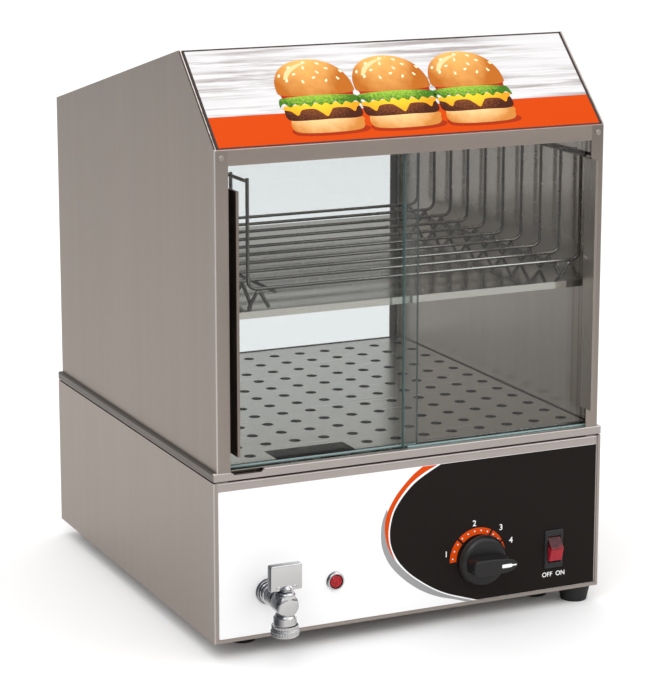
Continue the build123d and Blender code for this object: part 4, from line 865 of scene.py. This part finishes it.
PIN = (VALVE_X, OUTLET_Y, LEVER_HIGH.z - 0.0006)
turned("lever_pin", PIN, "+Z", [(0.0, 2.1), (0.5, 2.1), (0.9, 1.7), (1.1, 0.8)], zinc, "valve_lever", sides=24)

# ---------------------------------------------------------------- lamp bezel
BEZEL_LOW, BEZEL_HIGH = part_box("lamp_bezel")
BEZEL = ((BEZEL_LOW.x + BEZEL_HIGH.x) / 2, LABEL_Y, (BEZEL_LOW.z + BEZEL_HIGH.z) / 2)
bezel_profile = [
    (-20.0, 6.3), (-20.0, 7.4), (0.02, 7.4), (0.02, 9.1), (0.5, 9.2), (1.0, 9.0), (2.3, 7.9), (2.5, 7.4), (2.4, 6.9),
    (1.2, 6.3),
]
turned("lamp_ring", BEZEL, "-Y", bezel_profile, chrome, "case", ("lamp_bezel",), 64, True)

# ---------------------------------------------------------------- door glass: strips painted on the glass as highlights, where the polished foot edges catch the light
FOOT_EDGE_LOW, FOOT_EDGE_HIGH = 175.2, 176.8
edge_glint_ink = printed("painted glass edge highlight", (0.30, 0.42, 0.42), 0.2)
for door, body in (("left_glass_door", "left_door"), ("right_glass_door", "right_door")):
    glass_low, glass_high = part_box(door)
    face_y = glass_low.y - 0.00012
    left, right = glass_low.x / MM + 4, glass_high.x / MM - 2
    foot_strip = [(left, FOOT_EDGE_LOW), (right, FOOT_EDGE_LOW), (right, FOOT_EDGE_HIGH), (left, FOOT_EDGE_HIGH)]
    flat_print(f"{body}_foot_edge_glint", [foot_strip], 0.0002, edge_glint_ink, (0, face_y, 0), body=body)

# ---------------------------------------------------------------- sign: three round sandwiches, and dark lines painted along its edges as shade
SIGN_FACE = (SIGN_LOW.y, SIGN_LOW.z + 0.0005 * cos(SLANT))
SIGN_UP = SIGN_LEN / MM
BURGER_GAP = 77.0
BURGER_X = -3.0
BURGER_UP = 11.0


def on_sign(name, outlines, lift, surface):
    """A printed layer on the slanted sign; points are (X, distance up the slope) in millimetres."""
    half = lift * MM / 2
    at = (0, SIGN_FACE[0] - sin(SLANT) * half, SIGN_FACE[1] + cos(SLANT) * half)
    return flat_print(name, outlines, lift * MM, surface, at, (SLANT, 0, 0))


def shaded_print(name, light, dark, low, high, scale, contrast):
    """A printed food colour: lighter towards its top and its middle, with a soft mottle."""
    ink = printed(name, light, 0.4)
    flat = sign_plane(ink)
    split = ink.node("ShaderNodeSeparateXYZ", Vector=flat)
    buns_along = ink.math("DIVIDE", split.outputs["X"], BURGER_GAP * MM)
    across = ink.math("FRACT", ink.math("ADD", buns_along, 0.5 - BURGER_X / BURGER_GAP + 8))
    side = ink.math("POWER", ink.math("ABSOLUTE", ink.math("MULTIPLY", ink.math("SUBTRACT", across, 0.45), 2.0)), 2.4)
    fall = ink.ramp(split.outputs["Y"], 0.75, 0.0, (BURGER_UP + low) * MM, (BURGER_UP + high) * MM)
    mottle = ink.ramp(ink.noise(flat, scale, 4.0, 0.6), -contrast, contrast, 0.3, 0.7)
    shade = ink.math("ADD", ink.math("ADD", side, fall), mottle, clamp=True)
    ink.colour(ink.mix(shade, light, dark))
    return ink


crust = shaded_print("printed bun crown", (0.86, 0.46, 0.13), (0.46, 0.13, 0.012), 42, 84, 90, 0.12)
heel = shaded_print("printed bun heel", (0.90, 0.60, 0.27), (0.58, 0.22, 0.04), 0, 17, 120, 0.14)
patty = shaded_print("printed meat", (0.22, 0.065, 0.02), (0.06, 0.012, 0.004), 15, 30, 520, 0.45)
cheese_ink = shaded_print("printed cheese", (0.95, 0.58, 0.03), (0.80, 0.32, 0.01), 18, 32, 60, 0.1)
leaf = shaded_print("printed leaf", (0.30, 0.50, 0.05), (0.05, 0.16, 0.01), 31, 41, 420, 0.5)
tomato = shaded_print("printed tomato", (0.74, 0.07, 0.02), (0.38, 0.015, 0.006), 38, 47, 200, 0.3)
seed_ink = printed("printed seed", (0.92, 0.78, 0.50))
glint_ink = printed("printed highlight", (0.93, 0.62, 0.30))
edge_shade_ink = printed("painted edge shade", (0.05, 0.04, 0.037))
shadow_ink = printed("printed shadow", (0.36, 0.026, 0.002))

shadow_shape = closed([(-37, 1.5), (-30, -2.5), (0, -4), (30, -2.5), (39, 1), (34, 5), (0, 7), (-33, 5)])
heel_shape = closed([
    (-34, 15), (-35.6, 9), (-33.5, 3), (-26, 0.4), (-10, -0.6), (10, -0.6), (26, 0.4), (33.5, 3), (35.6, 9),
    (34, 15), (0, 17.5),
])
patty_shape = closed([
    (-37.6, 22), (-36.6, 17), (-31, 14.4), (-12, 14), (8, 14.4), (30, 14.2), (36.6, 17), (37.8, 22), (36.4, 27.6),
    (30, 29.6), (-30, 29.6), (-36.2, 27.6),
])
cheese_shape = closed([
    (-36, 31), (-37.6, 27.4), (-31, 25), (-25.5, 20), (-20, 26), (-8, 26.6), (-2, 22), (2.6, 17.6), (7.6, 23),
    (12, 26.6), (25, 26), (30.5, 21.4), (34, 26), (37.4, 28.4), (35, 32), (0, 33),
])
leaf_bottom = [(-40 + 5 * k, 31.6 + (2.1 if k % 2 else -1.7) + sin(k * 1.9) * 0.8) for k in range(17)]
leaf_shape = closed([*leaf_bottom, (39, 37), (33, 40.5), (0, 42), (-33, 40.5), (-39, 37)], 4)
tomato_shape = closed([
    (-35, 41.5), (-34, 38.4), (-20, 36.8), (-3.5, 37.6), (-1, 39), (2, 37.4), (18, 36.6), (33.5, 38.2),
    (35.4, 41.6), (32, 45.5), (0, 46), (-32, 45.5),
])
crown_shape = closed([
    (-38, 49), (-36.8, 44.8), (-30, 42.8), (-12, 42), (12, 42), (30, 42.8), (36.8, 44.8), (38, 49), (36.4, 60),
    (29.6, 72), (17, 80.4), (0, 83.4), (-17, 80.4), (-29.6, 72), (-36.4, 60),
])
glint_shape = closed([(-27, 62), (-22, 71), (-12, 77.4), (0, 79.6), (-9, 75), (-18, 68.6), (-24, 61)])
seeds = [
    (-24, 60, 50), (-15, 67, 20), (-4, 74, 80), (8, 68, 130), (18, 72, 160), (26, 60, 120), (-9, 58, 100),
    (3, 62, 20), (14, 58, 60), (-18, 75, 40), (-30, 66, 60), (31, 68, 130), (-2, 80, 0), (11, 78, 150),
]


def seed(x, up, angle):
    """The outline of one seed at a place on the crown, leaning by an angle in degrees."""
    lean = radians(angle)
    points = []
    for k in range(14):
        a = 2 * pi * k / 14
        along, over = 2.1 * cos(a), 1.15 * sin(a) * (1 - 0.3 * cos(a))
        points.append((x + along * cos(lean) - over * sin(lean), up + along * sin(lean) + over * cos(lean)))
    return points


def moved(points, x):
    """Points of one sandwich, moved across the sign and up to the sandwiches' foot line."""
    return [(px + x, up + BURGER_UP) for px, up in points]


# layer, its outlines, how proud of the sign it stands in millimetres, and its ink, from the back to the front
SANDWICH_LAYERS = (
    ("shadow", [shadow_shape], 0.05, shadow_ink),
    ("heel", [heel_shape], 0.08, heel),
    ("meat", [patty_shape], 0.11, patty),
    ("cheese", [cheese_shape], 0.14, cheese_ink),
    ("tomato", [tomato_shape], 0.14, tomato),
    ("leaf", [leaf_shape], 0.17, leaf),
    ("crown", [crown_shape], 0.20, crust),
    ("glint", [glint_shape], 0.22, glint_ink),
    ("seeds", [seed(*place) for place in seeds], 0.25, seed_ink),
)
for i in range(3):
    middle_x = BURGER_X + (i - 1) * BURGER_GAP
    for layer, shapes, lift, ink in SANDWICH_LAYERS:
        on_sign(f"sign_{layer}_{i}", [moved(shape, middle_x) for shape in shapes], lift, ink)

EDGE_SHADE_X = SIGN_HIGH.x / MM
EDGE_SHADE_LIFT = 0.3
# painted shade: dark lines along the sign's left, right, top and foot edges
for name, x0, x1, low, high in (
    ("edge_shade_left", -EDGE_SHADE_X - 1.5, -EDGE_SHADE_X + 0.5, 0.0, SIGN_UP - 0.4),
    ("trim_left_edge", -EDGE_SHADE_X - 4.2, -EDGE_SHADE_X - 3.3, 0.0, SIGN_UP - 0.4),
    ("edge_shade_right", EDGE_SHADE_X - 0.2, EDGE_SHADE_X + 2.0, 0.0, SIGN_UP - 0.4),
    ("edge_shade_top", -EDGE_SHADE_X - 1.0, EDGE_SHADE_X + 1.5, SIGN_UP - 1.8, SIGN_UP - 0.4),
    ("edge_shade_foot", -EDGE_SHADE_X, EDGE_SHADE_X + 1.0, -0.1, 0.9),
):
    on_sign(name, [[(x0, low), (x1, low), (x1, high), (x0, high)]], EDGE_SHADE_LIFT, edge_shade_ink)
